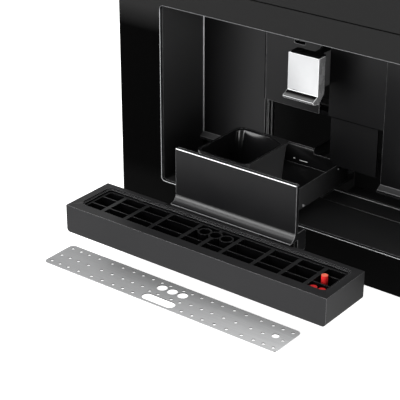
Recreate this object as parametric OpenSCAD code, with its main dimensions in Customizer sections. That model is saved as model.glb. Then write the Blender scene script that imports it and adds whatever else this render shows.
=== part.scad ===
// Built-in coffee machine with its drip tray and grounds drawer pulled out.
// Lengths are millimetres. Modules draw with x from the middle, y from the front glass
// towards the back and z from the surface that the machine stands on; placed() then
// moves them so that the origin is at the middle of the whole object's base.

/* [Front] */
// Width of the whole front
front_w = 595; // [585:1:600]
// Height of the whole front
front_h = 455; // [450:1:462]
// Height of the front's lower edge above the surface
front_lift = 2; // [1:0.5:4]
// Thickness of the front glass
glass_t = 5; // [4:0.5:6]
// Radius of the front's corners
front_r = 2; // [1:0.5:4]
// Height of the strip under the niche
strip_h = 59.4; // [57:0.2:62]
// Height of the control glass above the niche
head_h = 76; // [70:1:84]
// Gap between the two glasses
glass_gap = 1.5; // [1:0.25:2.5]
// Depth of the plastic carrier behind the glass
carrier_d = 17; // [15:1:19]
// Step of the carrier in from the edge of the glass
carrier_step = 5; // [4:0.5:7]
// Wall of the carrier
carrier_wall = 3; // [2.5:0.25:3.5]

/* [Niche] */
// Width of the niche opening
niche_w = 438.4; // [434:0.2:444]
// Height of the glass between the niche and the control glass
lintel_h = 40.9; // [36:0.1:48]
// Radius of the niche corners
niche_r = 5.5; // [4.5:0.25:7]
// Depth from the front to the niche back wall
niche_d = 104; // [101:0.5:107]
// Depth from the front to the raised rear edge of the floor
floor_d = 133; // [131:0.5:136]
// Wall of the niche liner and its panels
liner_t = 2.4; // [2:0.1:2.6]
// Width of the bright bead round the opening
trim_w = 1.2; // [0.9:0.1:1.6]

/* [Drip tray] */
// How far tray and drawer are pulled out
pull = 216; // [150:1:216]
// Depth of the drip tray
tray_d = 90.3; // [88:0.1:92]
// Height of the drip tray
tray_h = 41.6; // [38:0.2:44]
// Wall of the drip tray
tray_t = 2.6; // [2.2:0.1:3]
// Running gap between tray and niche
tray_gap = 0.8; // [0.5:0.1:1.2]
// Depth of the seat that the plate lies in
plate_seat = 2; // [1.5:0.1:2.5]
// Height of the ribs of the grid
rib_h = 14; // [11:0.5:16]
// Width of the ribs across the tray
rib_t = 6; // [4.5:0.25:7]
// Width of the thin ribs along the tray
thin_rib_t = 1.8; // [1.4:0.1:2.4]
// Outer diameter of the drain rings
ring_d = 20; // [19:0.25:21]
// Wall of the drain rings
ring_wall = 2; // [1.5:0.25:2.5]

/* [Drip plate] */
// Length of the drip plate
plate_l = 411; // [408:0.5:411]
// Width of the drip plate
plate_w = 63.5; // [62:0.25:64]
// Thickness of the drip plate
plate_t = 1; // [0.8:0.1:1.5]
// Diameter of the small holes
plate_hole_d = 4.6; // [4:0.1:5.5]
// Diameter of the three large holes
cup_hole_d = 15.6; // [14.5:0.1:16]
// Distance between the large holes
cup_hole_pitch = 18.2; // [17.6:0.1:18.6]
// Length of the finger slot
finger_slot_l = 55.5; // [50:0.5:60]
// Width of the finger slot
finger_slot_w = 16.5; // [15:0.25:17.5]
// Place of the loose plate left of the middle
plate_x = -58; // [-60:1:60]
// Distance of the loose plate's middle before the front
plate_out = 190; // [150:1:220]

/* [Drawer] */
// Width of the drawer front
drawer_w = 204; // [200:0.5:206]
// Height of the drawer front
drawer_h = 82.7; // [78:0.1:84]
// Thickness of the drawer front
drawer_t = 6; // [5:0.25:7]
// Inner width of the drawer body
body_in_w = 113; // [111:0.5:114]
// Height of the drawer body
body_h = 34.6; // [32:0.2:35.2]
// Wall of the drawer body
body_t = 3; // [2.6:0.1:3.2]
// Height of the rails under the drawer body
rail_h = 6; // [5:0.25:6.2]
// Width of the rails
rail_w = 14; // [10:0.5:18]

/* [Grounds container] */
// Width of the container's rim
bin_w = 90; // [84:0.5:92]
// Depth of the container's rim
bin_d = 108; // [100:0.5:112]
// Height of the container
bin_h = 101; // [94:0.5:103]
// Wall of the container
bin_t = 2.2; // [1.8:0.1:2.6]
// Radius of the container's corners
bin_r = 12; // [9:0.5:14]

/* [Spout] */
// Width of the spout cover
spout_w = 51.5; // [48:0.5:54]
// Height of the spout cover's front
spout_h = 56; // [52:0.5:60]
// Depth from the cover's front to its back edge
spout_d = 16.5; // [14:0.5:18]
// Distance of the spout's front behind the glass
spout_y = 46; // [42:0.5:48]
// Distance of the spout cover's top edge below the niche ceiling
spout_drop = 40.7; // [36:0.1:46]
// Sheet thickness of the spout cover
spout_t = 1.5; // [1.2:0.1:2]
// Width of the slot that the spout runs in
slot_w = 16; // [14:0.5:18]
// Diameter of the spout's guide rods
rod_d = 6; // [5:0.5:8]

/* [Housing] */
// Depth of the space behind the drawer's bay
services_d = 95.5; // [90:0.5:110]
// Width of the housing behind the front
body_w = 556; // [552:1:560]
// Height of the housing
housing_h = 441; // [438:1:444]
// Depth of the housing behind the carrier
housing_d = 448; // [444:1:470]
// Sheet thickness of the housing
sheet_t = 1.2; // [1:0.1:1.5]
// Height of the feet
foot_h = 6; // [5:0.5:8]
// Diameter of the feet
foot_d = 30; // [24:1:36]
// Diameter of the four side fixing holes
fixing_d = 5.5; // [4.5:0.25:6.5]
// Distance between the two fixing holes of one side
fixing_pitch = 260; // [220:5:280]

/* [Supplies] */
// Width of the water tank
tank_w = 131; // [120:1:134]
// Depth of the water tank
tank_d = 129; // [115:1:134]
// Height of the water tank
tank_h = 198; // [180:1:200]
// Wall of the water tank
tank_t = 2.5; // [2:0.1:3]
// Width of the bean hopper
hopper_w = 140; // [130:1:144]
// Depth of the bean hopper
hopper_d = 150; // [140:1:160]
// Height of the bean hopper
hopper_h = 62; // [56:1:63]
// Diameter of the grinder housing
grinder_d = 98; // [90:1:104]
// Diameter of the brewing chamber's bore
chamber_d = 60; // [54:1:62]

/* [Hidden] */

// Overrun of every cut, and the gaps between pieces that slide, pass, turn or only meet
cut = 1;
slide_gap = 0.3;
pass_gap = 0.6;
bearing_gap = 0.05;
seam_gap = 0.2;
panel_gap = 0.4;
open_gap = 4;
round_fn = 64;
small_fn = 32;
hull_fn = 32;

// Levels and planes that the pieces share
niche_z = front_lift + strip_h;
front_top = front_lift + front_h;
niche_top = front_top - head_h - lintel_h;
niche_h = niche_top - niche_z;
tray_z = niche_z + tray_gap / 2;
tray_top = tray_z + tray_h;
carrier_back = glass_t + carrier_d;
housing_back = carrier_back + housing_d;
housing_top = foot_h + housing_h;
base_t = 1.5;
floor_z = foot_h + base_t;
inner_x = body_w / 2 - sheet_t;
roof_z = housing_top - sheet_t;
screw_head_t = 2.4;
screw_head_d = 8;

plate_r = 8;

// The origin: middle of the space between the loose plate's edge and the rear screws
plate_front = -plate_out - plate_w / 2;
front_y = -(housing_back + screw_head_t + min(plate_front, -pull)) / 2;

// Drawer and tray, as they stand when pulled out
face_set = 1.5;
drawer_y = niche_d - face_set - pull;
tray_y = -pull;
tray_back = tray_y + tray_d;
cove_r = drawer_y - tray_back;
drawer_z = tray_top;
drawer_top = drawer_z + drawer_h;
body_off = -39.5;
body_w_out = body_in_w + 2 * body_t;
body_x = body_off - body_w_out / 2;
body_right = body_x + body_w_out;
body_sink = 29;
body_z = tray_top - body_sink;
body_top = body_z + body_h;
body_y = drawer_y + drawer_t;
bay_back = housing_back - services_d;
body_back = bay_back - 2 * open_gap - pull;
gusset_t = 6;
gusset_l = 19;

// The bay that the drawer runs in
shell_t = liner_t;
wall_x = drawer_w / 2 + pass_gap;
panel_x = wall_x - panel_gap;
panel_z = drawer_top + open_gap;
bay_top = panel_z + liner_t;
jamb_t = 4.4;
bay_left = -wall_x - jamb_t;
bay_right = body_right + open_gap;
shell_y = floor_d + panel_gap;
shell_left = bay_left - shell_t;
shell_right = bay_right + shell_t;
closed_y = body_y + pull;
gutter_d = 27;
gutter_back = floor_d + gutter_d;
gutter_rise = 20;
gutter_top = tray_top + gutter_rise;
gutter_y = closed_y + gusset_l + open_gap;
cover_set = 8;
cover_y = niche_d + cover_set;
cover_t = 3;

// Spout and its guide
spout_x = 1.5;
spout_top = niche_top - spout_drop;
spout_z = spout_top - spout_h;
arm_w = slot_w - 2 * cut;
slide_drop = 4;
slide_z = spout_z - slide_drop;
slide_h = 53;
slide_y = niche_d + liner_t + panel_gap;
slide_d = 18;
slide_w = 44;
rod_x = 16;
rod_y = slide_y + slide_d / 2;
bracket_t = 5;
bracket_low = panel_z + seam_gap;
bracket_high = niche_top - bracket_t;

// Moves a piece from the front plane to the part's origin.
module placed() {
  translate([0, front_y, 0]) children();
}

// A box between two corners, given as a range along each axis.
module span(x, y, z) {
  translate([x[0], y[0], z[0]]) cube([x[1] - x[0], y[1] - y[0], z[1] - z[0]]);
}

// A rectangle with round corners, its low corner at the origin.
module round_rect(w, h, r) {
  translate([r, 0]) square([w - 2 * r, h]);
  translate([0, r]) square([w, h - 2 * r]);
  for (x = [r, w - r], y = [r, h - r]) translate([x, y]) circle(r, $fn = round_fn);
}

// A slot with round ends, centred, its length along x.
module long_slot(l, w) {
  square([l - w, w], center = true);
  for (x = [-1, 1]) translate([x * (l - w) / 2, 0]) circle(d = w, $fn = round_fn);
}

// Stands a flat outline (x, z) up, from y to y + t.
module stand_up(y, t) {
  translate([0, y + t, 0]) rotate([90, 0, 0]) linear_extrude(t) children();
}

// Draws an outline (y, z) along x, from x to x + w.
module run_along(x, w) {
  translate([x, 0, 0]) rotate([90, 0, 90]) linear_extrude(w) children();
}

// A rounded outline round the niche opening, grown by a step.
module niche_outline(step) {
  translate([-niche_w / 2 - step, niche_z - step])
    round_rect(niche_w + 2 * step, niche_h + 2 * step, niche_r + step);
}

// An upright cylinder at a place, from z to z + h.
module post(x, y, z, h, d) {
  translate([x, y, z]) cylinder(h = h, d = d, $fn = round_fn);
}

// Both halves of a mirrored pair.
module pair() {
  children();
  mirror([1, 0, 0]) children();
}

// Glass

button_set = 47.5;
button_x = front_w / 2 - button_set;
button_z = front_top - head_h / 2;
button_d = 14;
button_travel = 2;
button_proud = 2.5;
button_l = 14.5;
button_back = button_l - button_proud;

module fascia() {
  color("#0b0b0c") placed() stand_up(0, glass_t) difference() {
    translate([-front_w / 2, front_lift])
      round_rect(front_w, front_h - head_h - glass_gap, front_r);
    niche_outline(trim_w);
  }
}

module control_glass() {
  color("#0b0b0c") placed() difference() {
    stand_up(0, glass_t)
      translate([-front_w / 2, front_top - head_h]) round_rect(front_w, head_h, front_r);
    translate([button_x, -cut, button_z]) rotate([-90, 0, 0])
      cylinder(h = glass_t + 2 * cut, d = button_d + 2 * slide_gap, $fn = round_fn);
  }
}

// The bead lies in the fascia's opening and stands a little proud of the glass.
trim_proud = 0.4;

module niche_trim() {
  color("#b9bbbf") placed() stand_up(-trim_proud, glass_t + trim_proud) difference() {
    niche_outline(trim_w);
    niche_outline(0);
  }
}

// Carrier: a shallow plastic tray behind both glasses

display_w = 124;
display_h = 46;
display_d = 9;
display_z = front_top - head_h / 2 - display_h / 2;
carrier_low = front_lift + carrier_step;
carrier_w = front_w - 2 * carrier_step;
carrier_h = front_h - 2 * carrier_step;
guide_t = 4;
guide_d = button_d + 2 * guide_t;

module carrier_outline(step) {
  translate([-carrier_w / 2 + step, carrier_low + step])
    round_rect(carrier_w - 2 * step, carrier_h - 2 * step, front_r + carrier_step - step);
}

module front_carrier() {
  color("#1b1b1c") placed() difference() {
    union() {
      stand_up(glass_t, carrier_wall) carrier_outline(0);
      stand_up(glass_t, carrier_d) difference() {
        carrier_outline(0);
        carrier_outline(carrier_wall);
      }
      stand_up(glass_t, carrier_d)
        niche_outline(liner_t + slide_gap + carrier_wall);
      stand_up(glass_t, display_d + carrier_wall)
        translate([-display_w / 2 - carrier_wall, display_z - carrier_wall])
          round_rect(display_w + 2 * carrier_wall, display_h + 2 * carrier_wall, front_r);
      translate([button_x, glass_t, button_z]) rotate([-90, 0, 0])
        cylinder(h = button_back - glass_t, d = guide_d, $fn = round_fn);
    }
    stand_up(glass_t - cut, carrier_d + 2 * cut) niche_outline(liner_t + slide_gap);
    stand_up(glass_t - cut, display_d + carrier_wall + 2 * cut)
      translate([-display_w / 2 - slide_gap, display_z - slide_gap])
        round_rect(display_w + 2 * slide_gap, display_h + 2 * slide_gap, front_r);
    translate([button_x, glass_t - cut, button_z]) rotate([-90, 0, 0])
      cylinder(h = carrier_d + cut, d = button_d + 2 * slide_gap, $fn = round_fn);
  }
}

// The screen's module with its circuit board and plug.
board_t = 1.6;
board_lip = 2;
plug_w = 20;
plug_h = 8;
plug_d = 5;

module display_module() {
  board_y = glass_t + display_d;
  color("#15181b") placed() {
    stand_up(glass_t, display_d)
      translate([-display_w / 2, display_z]) round_rect(display_w, display_h, front_r);
    span([-display_w / 2 + board_lip, display_w / 2 - board_lip],
         [board_y, board_y + board_t], [display_z + board_lip, display_z + display_h - board_lip]);
    span([-plug_w / 2, plug_w / 2], [board_y + board_t, board_y + board_t + plug_d],
         [display_z + display_h / 2, display_z + display_h / 2 + plug_h]);
  }
}

// The on and off button, pushed straight in.
button_dish_r = 26;
button_dish = 0.5;

module power_button() {
  dish_x = sqrt(pow(button_dish_r, 2) - pow(button_dish_r - button_dish, 2));
  color("#2c2d2f") placed() translate([button_x, -button_proud, button_z])
    rotate([-90, 0, 0]) rotate_extrude($fn = round_fn) difference() {
      square([button_d / 2, button_l]);
      translate([0, button_dish - button_dish_r]) circle(button_dish_r, $fn = round_fn);
    }
}

switch_w = 13;
switch_stem = 4;

module button_switch() {
  switch_y = button_back + button_travel + slide_gap;
  leg_x = button_x - button_d / 2 - pass_gap;
  leg_z = [button_z - switch_stem / 2, button_z + switch_stem / 2];
  color("#3a3a3c") placed() {
    span([button_x - switch_w / 2, button_x + switch_w / 2],
         [switch_y, carrier_back], [button_z - switch_w / 2, button_z + switch_w / 2]);
    span([button_x - guide_d / 2, leg_x], [button_back, carrier_back], leg_z);
    span([leg_x, button_x - switch_w / 2], [switch_y, carrier_back], leg_z);
  }
}

// Niche

seam_set = 9;
seam_y = niche_d - seam_set;
floor_x = niche_w / 2 - niche_r;

module niche_liner() {
  color("#161617") placed() difference() {
    stand_up(glass_t, niche_d - glass_t) difference() {
      niche_outline(liner_t);
      niche_outline(0);
    }
    span([-floor_x, floor_x], [seam_y, niche_d + cut], [niche_z - liner_t - cut, niche_z + cut]);
  }
}

lip_h = 3;
lip_t = 2;

module niche_floor() {
  color("#141415") placed() run_along(-floor_x + seam_gap, 2 * (floor_x - seam_gap)) {
    translate([seam_y + seam_gap, niche_z - liner_t])
      square([floor_d - seam_y - seam_gap, liner_t]);
    translate([floor_d - lip_t, niche_z]) square([lip_t, lip_h - lip_t / 2]);
    translate([floor_d - lip_t / 2, niche_z + lip_h - lip_t / 2]) circle(d = lip_t, $fn = small_fn);
  }
}

// Back walls left and right; each ends below in a sloping lip over the open gap.
ledge_out = 9;
ledge_rise = 4;
ledge_z = tray_top + ledge_rise;
ledge_drop = 5;
ledge_t = 4;

module back_walls() {
  lower = ledge_z - ledge_drop - ledge_t;
  color("#1a1a1b") placed() pair() {
    run_along(wall_x, niche_w / 2 + liner_t - wall_x)
      translate([niche_d, lower]) square([liner_t, niche_top + liner_t - lower]);
    run_along(wall_x, niche_w / 2 - seam_gap - wall_x) polygon([
      [niche_d, ledge_z],
      [niche_d - ledge_out, ledge_z - ledge_drop],
      [niche_d - ledge_out, lower],
      [niche_d, lower]
    ]);
  }
}

// Upper panels left and right of the spout's slot, with the spout's window on the left.
slot_left = spout_x - slot_w / 2;
slot_right = spout_x + slot_w / 2;
window_drop = 10;
window_h = 48;
window_low = spout_z - window_drop;
window_top = window_low + window_h;
window_w = 24;
window_r = 18;
sight_off = 47;
sight_w = 19;
sight_h = 4.6;
sight_rise = 8.6;
sight_x = slot_left - sight_off;
sight_z = window_top + sight_rise;

module spout_panel_left() {
  color("#1a1a1b") placed() stand_up(niche_d, liner_t) difference() {
    translate([-panel_x, panel_z])
      square([panel_x + slot_left, niche_top + liner_t - panel_z]);
    translate([slot_left - window_w, window_low])
      square([window_w + cut, window_top - window_low]);
    translate([slot_left - window_r, window_top - cut]) difference() {
      square([window_r + cut, window_r + cut]);
      translate([0, window_r + cut]) circle(window_r, $fn = round_fn);
    }
    translate([sight_x, sight_z]) round_rect(sight_w, sight_h, sight_h / 4);
  }
}

module spout_panel_right() {
  color("#151516") placed() stand_up(niche_d, liner_t)
    translate([slot_right, panel_z])
      square([panel_x - slot_right, niche_top + liner_t - panel_z]);
}

// Recessed cover right of the open bay; its lower left corner is round.
cover_w = 80;
cover_left = slot_right;
cover_z = body_top + liner_t;
cover_top = panel_z;
cover_r = 16;

module bay_cover() {
  color("#141415") placed() stand_up(cover_y, cover_t) union() {
    translate([cover_left + cover_r, cover_z])
      square([cover_w - cover_r, cover_top - cover_z]);
    translate([cover_left, cover_z + cover_r])
      square([cover_r, cover_top - cover_z - cover_r]);
    intersection() {
      translate([cover_left + cover_r, cover_z + cover_r]) circle(cover_r, $fn = round_fn);
      translate([cover_left, cover_z]) square([cover_r, cover_r]);
    }
  }
}

// Grooved upright at the left edge of the bay.
groove_w = 4;
groove_d = 1.5;
groove_step = 9;

module bay_jamb() {
  front = closed_y + cut;
  rear = floor_d - lip_t - seam_gap;
  color("#232324") placed() difference() {
    span([bay_left, -wall_x], [front, rear], [niche_z + seam_gap, bay_top]);
    for (y = [front + groove_w / 4 : groove_step : rear - groove_w])
      span([-wall_x - groove_d, -wall_x + cut], [y, y + groove_w],
           [niche_z - cut, bay_top + cut]);
  }
}

// The drawer's bay behind the niche: floor, walls and a roof with the puck opening.
puck_w = 70;
puck_d = 76;
puck_x = body_x + body_t + cover_r;
puck_y = floor_d + puck_w / 4;
leg_t = 2;

module bay_shell() {
  low = niche_z - shell_t;
  y = [shell_y, bay_back + shell_t];
  color("#2a2b2d") placed() {
    span([shell_left, shell_right], y, [low, niche_z]);
    span([shell_left, bay_left], y, [niche_z, bay_top]);
    span([bay_right, shell_right], [gutter_back, y[1]], [niche_z, cover_z]);
    span([bay_right, shell_right], [cover_y + cover_t, y[1]], [cover_z, bay_top]);
    span([bay_left, bay_right], [bay_back, y[1]], [niche_z, bay_top]);
    difference() {
      span([shell_left, shell_right], y, [bay_top, bay_top + shell_t]);
      span([puck_x, puck_x + puck_w], [puck_y, puck_y + puck_d],
           [bay_top - cut, bay_top + shell_t + cut]);
    }
    for (y = [gutter_back, bay_back - leg_t])
      span([shell_left, shell_right], [y, y + leg_t], [floor_z, low]);
  }
}

// Dark gutters left and right, under the back walls and behind the cover.
module gutter_profile() {
  translate([shell_y, niche_z - liner_t]) square([gutter_back - shell_y, liner_t]);
  translate([gutter_back, niche_z - liner_t]) square([liner_t, gutter_top - niche_z + liner_t]);
  translate([gutter_y, gutter_top]) square([gutter_back + liner_t - gutter_y, liner_t]);
}

module gutters() {
  out_x = niche_w / 2 + liner_t;
  color("#101011") placed() {
    run_along(-out_x, out_x + shell_left - seam_gap) gutter_profile();
    run_along(shell_right + seam_gap, out_x - shell_right - seam_gap) gutter_profile();
  }
}

// A slim light under the niche ceiling.
light_w = 120;
light_d = 9;
light_t = 1.6;
light_y = 30;

module cup_light() {
  color("#e8e8e2") placed()
    translate([-light_w / 2, light_y, niche_top - light_t])
      linear_extrude(light_t) round_rect(light_w, light_d, light_d / 3);
}

// Spout

lip_out = 12.5;
lip_low = 7;
lip_edge = 2.6;
lip_back = 13;

module spout_cover() {
  back = spout_y + spout_d;
  color("#e9ebee") placed() difference() {
    run_along(spout_x - spout_w / 2, spout_w) polygon([
      [spout_y, spout_top],
      [back, spout_top],
      [back, spout_z],
      [back - lip_back, spout_z - lip_back],
      [spout_y - lip_out + lip_edge, spout_z - lip_low - lip_edge],
      [spout_y - lip_out, spout_z - lip_low + lip_edge / 2],
      [spout_y - lip_out / 4, spout_z - lip_edge / 2],
      [spout_y, spout_z]
    ]);
    run_along(spout_x - spout_w / 2 + spout_t, spout_w - 2 * spout_t) polygon([
      [spout_y + spout_t, spout_top + cut],
      [back + cut, spout_top + cut],
      [back + cut, spout_z - 2 * lip_back],
      [spout_y + spout_t + lip_edge, spout_z - 2 * lip_back],
      [spout_y + spout_t + lip_edge, spout_z - lip_back],
      [spout_y + spout_t, spout_z - lip_edge]
    ]);
  }
}

// Black core of the spout: top, neck and the block that holds the nozzles.
core_d = 20;
core_back = spout_y + core_d;
core_top = 1.5;
core_in = spout_w / 2 - spout_t - slide_gap;
outlet_low = 14;
knob_d = 12;
knob_x = -14;
nozzle_x = 11;
nozzle_set = 12;
nozzle_y = spout_y + nozzle_set;
nozzle_d = 9;
nozzle_bore = 5.4;
nozzle_l = 10;

module spout_body() {
  core_y = spout_y + spout_t + lip_edge + slide_gap;
  color("#121213") placed() difference() {
    union() {
      span([spout_x - core_in, spout_x + core_in], [core_y, core_back],
           [spout_z, spout_top + core_top]);
      span([spout_x - core_in + core_top, spout_x + core_in - core_top],
           [core_y, core_back - core_top], [spout_z - outlet_low, spout_z]);
      post(spout_x + knob_x, spout_y + knob_d, spout_top + core_top, core_top, knob_d);
    }
    for (x = [-nozzle_x, nozzle_x])
      post(spout_x + x, nozzle_y, spout_z - outlet_low - cut, nozzle_l / 2 + cut,
           nozzle_d + 2 * bearing_gap);
  }
}

module spout_nozzles() {
  color("#26272a") placed() for (x = [-nozzle_x, nozzle_x])
    translate([spout_x + x, nozzle_y, spout_z - outlet_low - nozzle_l / 2 + bearing_gap])
      difference() {
        cylinder(h = nozzle_l - 2 * bearing_gap, d = nozzle_d, $fn = round_fn);
        translate([0, 0, -cut])
          cylinder(h = nozzle_l + 2 * cut, d = nozzle_bore, $fn = small_fn);
      }
}

// The slide runs on two rods behind the panels, its arm reaches out through the slot.
module spout_slide() {
  color("#2b2c2f") placed() difference() {
    union() {
      span([spout_x - slide_w / 2, spout_x + slide_w / 2], [slide_y, slide_y + slide_d],
           [slide_z, slide_z + slide_h]);
      span([spout_x - arm_w / 2, spout_x + arm_w / 2], [core_back, slide_y],
           [slide_z, slide_z + slide_h]);
    }
    for (x = [-rod_x, rod_x])
      post(spout_x + x, rod_y, slide_z - cut, slide_h + 2 * cut, rod_d + 2 * slide_gap);
  }
}

module spout_rods() {
  color("#c9ccd0") placed() for (x = [-rod_x, rod_x])
    post(spout_x + x, rod_y, bracket_low, bracket_high + bracket_t - bracket_low, rod_d);
}

module rod_brackets() {
  bracket_y = niche_d + liner_t;
  color("#3b3c3f") placed() for (z = [bracket_low, bracket_high]) difference() {
    span([spout_x - slide_w / 2, spout_x + slide_w / 2],
         [bracket_y, slide_y + slide_d], [z, z + bracket_t]);
    for (x = [-rod_x, rod_x])
      post(spout_x + x, rod_y, z - cut, bracket_t + 2 * cut, rod_d + 2 * bearing_gap);
  }
}

// Drawer

gusset_low = 20;
gusset_top = 11;
hook_d = 3;

// Below the front a skirt takes two tongues of the drip tray in its pockets.
skirt_w = 120;
skirt_h = 26;
skirt_rise = 3;
tongue_x = 40;
tongue_w = 16;
tongue_t = 5;
tongue_l = 13;
tongue_z = body_z + skirt_rise + skirt_h / 2;

module drawer_front() {
  lip = drawer_t / 4;
  centre = drawer_z + lip + cove_r;
  color("#2a2a2c") placed() {
    run_along(-drawer_w / 2, drawer_w) difference() {
      translate([tray_back, drawer_z]) square([drawer_t + cove_r, drawer_h]);
      translate([tray_back - cut, centre]) square([cove_r + cut, drawer_h]);
      translate([tray_back, centre]) circle(cove_r, $fn = round_fn);
      translate([tray_back - cut, drawer_z + lip]) square([cut, cove_r + cut]);
    }
    run_along(drawer_w / 2 - gusset_t, gusset_t) polygon([
      [body_y, drawer_z + gusset_top],
      [body_y, drawer_z - gusset_low],
      [body_y + gusset_l, drawer_z - gusset_low],
      [body_y + gusset_l, drawer_z + gusset_top - hook_d],
      [body_y + gusset_l - hook_d, drawer_z + gusset_top]
    ]);
    difference() {
      span([body_off - skirt_w / 2, body_off + skirt_w / 2], [tray_back + slide_gap, body_y],
           [body_z + skirt_rise, drawer_z]);
      for (x = [-tongue_x, tongue_x])
        span([body_off + x - tongue_w / 2 - slide_gap, body_off + x + tongue_w / 2 + slide_gap],
             [tray_back - cut, tray_back + tongue_l + slide_gap],
             [tongue_z - slide_gap, tongue_z + tongue_t + slide_gap]);
    }
  }
}

// Low-walled drawer body; a stepped rim runs round it and a stop peg stands at its right.
rim_step = 1.4;
rim_drop = 2.4;
body_floor_t = 2.5;
peg_d = 4;
peg_l = 1.6;
peg_y = 136;
rear_cut_x = 58;
rear_cut_w = 40;
rear_cut_d = 8;

module drawer_body() {
  color("#1d1d1f") placed() {
    difference() {
      span([body_x, body_right], [body_y, body_back], [body_z, body_top]);
      span([body_x + body_t, body_right - body_t], [body_y + body_t, body_back - body_t],
           [body_z + body_floor_t, body_top + cut]);
      span([body_x + rim_step, body_right - rim_step],
           [body_y + rim_step, body_back - rim_step], [body_top - rim_drop, body_top + cut]);
      span([body_x + rear_cut_x, body_x + rear_cut_x + rear_cut_w],
           [body_back - body_t - cut, body_back + cut], [body_top - rear_cut_d, body_top + cut]);
    }
    translate([body_right, body_y + peg_y, body_z + peg_d]) rotate([0, 90, 0])
      cylinder(h = peg_l, d = peg_d, $fn = small_fn);
  }
}

// Two rails under the drawer body run in two fixed channels on the bay floor.
rail_set = 12;
rail_x = [body_x + rail_set, body_right - rail_set - rail_w];
rail_low = body_z - rail_h;
channel_t = 2;
channel_y = seam_y + cut;

module drawer_rails() {
  color("#8f9296") placed() for (x = rail_x)
    span([x, x + rail_w], [body_y + body_t, body_back], [rail_low, body_z]);
}

module fixed_rails() {
  base = niche_z + lip_h + seam_gap;
  color("#7d8084") placed() for (x = rail_x) difference() {
    side = [x - slide_gap - channel_t, x + rail_w + slide_gap + channel_t];
    union() {
      span(side, [channel_y, bay_back], [base, rail_low + rail_h / 2]);
      span(side, [channel_y, floor_d - lip_t - seam_gap], [niche_z, base]);
      span(side, [shell_y, bay_back], [niche_z, base]);
    }
    span([x - slide_gap, x + rail_w + slide_gap], [channel_y - cut, bay_back + cut],
         [rail_low - slide_gap, rail_low + rail_h]);
  }
}

// Grounds container: its back slopes forward and a flange fills the rear right corner.
bin_set = 8;
bin_back = 20;
bin_x = body_x + body_t + bin_set;
bin_y = body_y + bin_back;
bin_z = body_z + body_floor_t + slide_gap;
bin_top = bin_z + bin_h;
bin_slope = 20;
bin_rim = 1.4;
bin_rim_h = 3;
flange_x = 42;
flange_y = 20;

bin_lean = atan(bin_slope / bin_h);

module bin_outline(step, more) {
  translate([bin_x + step, bin_y + step])
    round_rect(bin_w - 2 * step, bin_d - 2 * step + more, bin_r - step / 2);
}

// The bin's block: an upright prism for the front, cut by a leaning one for the back.
module bin_block(step, low, high) {
  reach = bin_d + bin_h;
  intersection() {
    translate([0, 0, bin_z + low]) linear_extrude(bin_h - low + high) bin_outline(step, bin_h);
    translate([bin_x + step, bin_y + bin_d - step, bin_top]) rotate([-bin_lean, 0, 0])
      translate([0, -reach, -reach]) linear_extrude(2 * reach)
        round_rect(bin_w - 2 * step, reach, bin_r - step / 2);
  }
}

module grounds_container() {
  inner = bin_rim + bin_t;
  color("#1f1f21") placed() {
    difference() {
      bin_block(bin_rim, 0, -bin_rim_h);
      bin_block(inner, bin_t, cut);
    }
    translate([0, 0, bin_top - bin_rim_h]) linear_extrude(bin_rim_h) difference() {
      bin_outline(0, 0);
      difference() {
        bin_outline(inner, 0);
        polygon([
          [bin_x + bin_w, bin_y + bin_d],
          [bin_x + bin_w - flange_x, bin_y + bin_d],
          [bin_x + bin_w, bin_y + bin_d - flange_y]
        ]);
      }
    }
  }
}

// Drip tray

tray_w = niche_w - 2 * tray_gap;
tray_r = niche_r;
seat_gap = 1.2;
seat_l = plate_l + 2 * seat_gap;
seat_w = plate_w + 2 * seat_gap;
seat_set = 16;
seat_mid = tray_y + seat_set + seat_w / 2;
seat_r = plate_r + seat_gap;
well_step = 3;
grid_sink = 2.5;
grid_z = tray_top - plate_seat - grid_sink;
grid_low = grid_z - rib_h;
grid_l = seat_l - 2 * well_step;
grid_w = seat_w - 2 * well_step;
notch_d = 1.6;
notch_w = drawer_w + 2 * tray_r;
bar_x = grid_l / 2 - well_step / 2;

module tray_plan(l, w, r) {
  translate([-l / 2, seat_mid - w / 2]) round_rect(l, w, r);
}

module drip_tray() {
  inner = [tray_y + tray_t, tray_back - tray_t];
  color("#3a3a3c") placed() {
    difference() {
      union() {
        stand_up(tray_y, tray_d)
          translate([-tray_w / 2, tray_z]) round_rect(tray_w, tray_h, tray_r);
        span([-tray_w / 2, tray_w / 2], [tray_y, tray_back], [tray_top - tray_r, tray_top]);
      }
      translate([0, 0, tray_top - plate_seat]) linear_extrude(plate_seat + cut)
        tray_plan(seat_l, seat_w, seat_r);
      translate([0, 0, tray_z + tray_t]) linear_extrude(tray_h)
        tray_plan(grid_l, grid_w, seat_r - well_step);
      span([-tray_w / 2 + tray_r, tray_w / 2 - tray_r], inner,
           [tray_z + tray_t, grid_low - slide_gap]);
      span([-notch_w / 2, notch_w / 2], [tray_back - tray_t - notch_d, tray_back + cut],
           [tray_top - notch_d, tray_top + cut]);
    }
    for (x = [-bar_x, bar_x])
      span([x - thin_rib_t / 2, x + thin_rib_t / 2], inner, [tray_z + tray_t, grid_low]);
    for (x = [-tongue_x, tongue_x])
      span([body_off + x - tongue_w / 2, body_off + x + tongue_w / 2],
           [tray_back, tray_back + tongue_l], [tongue_z, tongue_z + tongue_t]);
  }
}

// Rib grid with three drain rings; places are shares of its half length and width.
cross_rib_shares = [-0.84, -0.64, -0.425, -0.17, 0, 0.17, 0.425, 0.64, 0.84];
row_place_shares = [0.34, -0.45];
ring_share = 0.4;
ring_y = seat_mid + ring_share * grid_w / 2;
grid_gap = 0.4;

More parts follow.
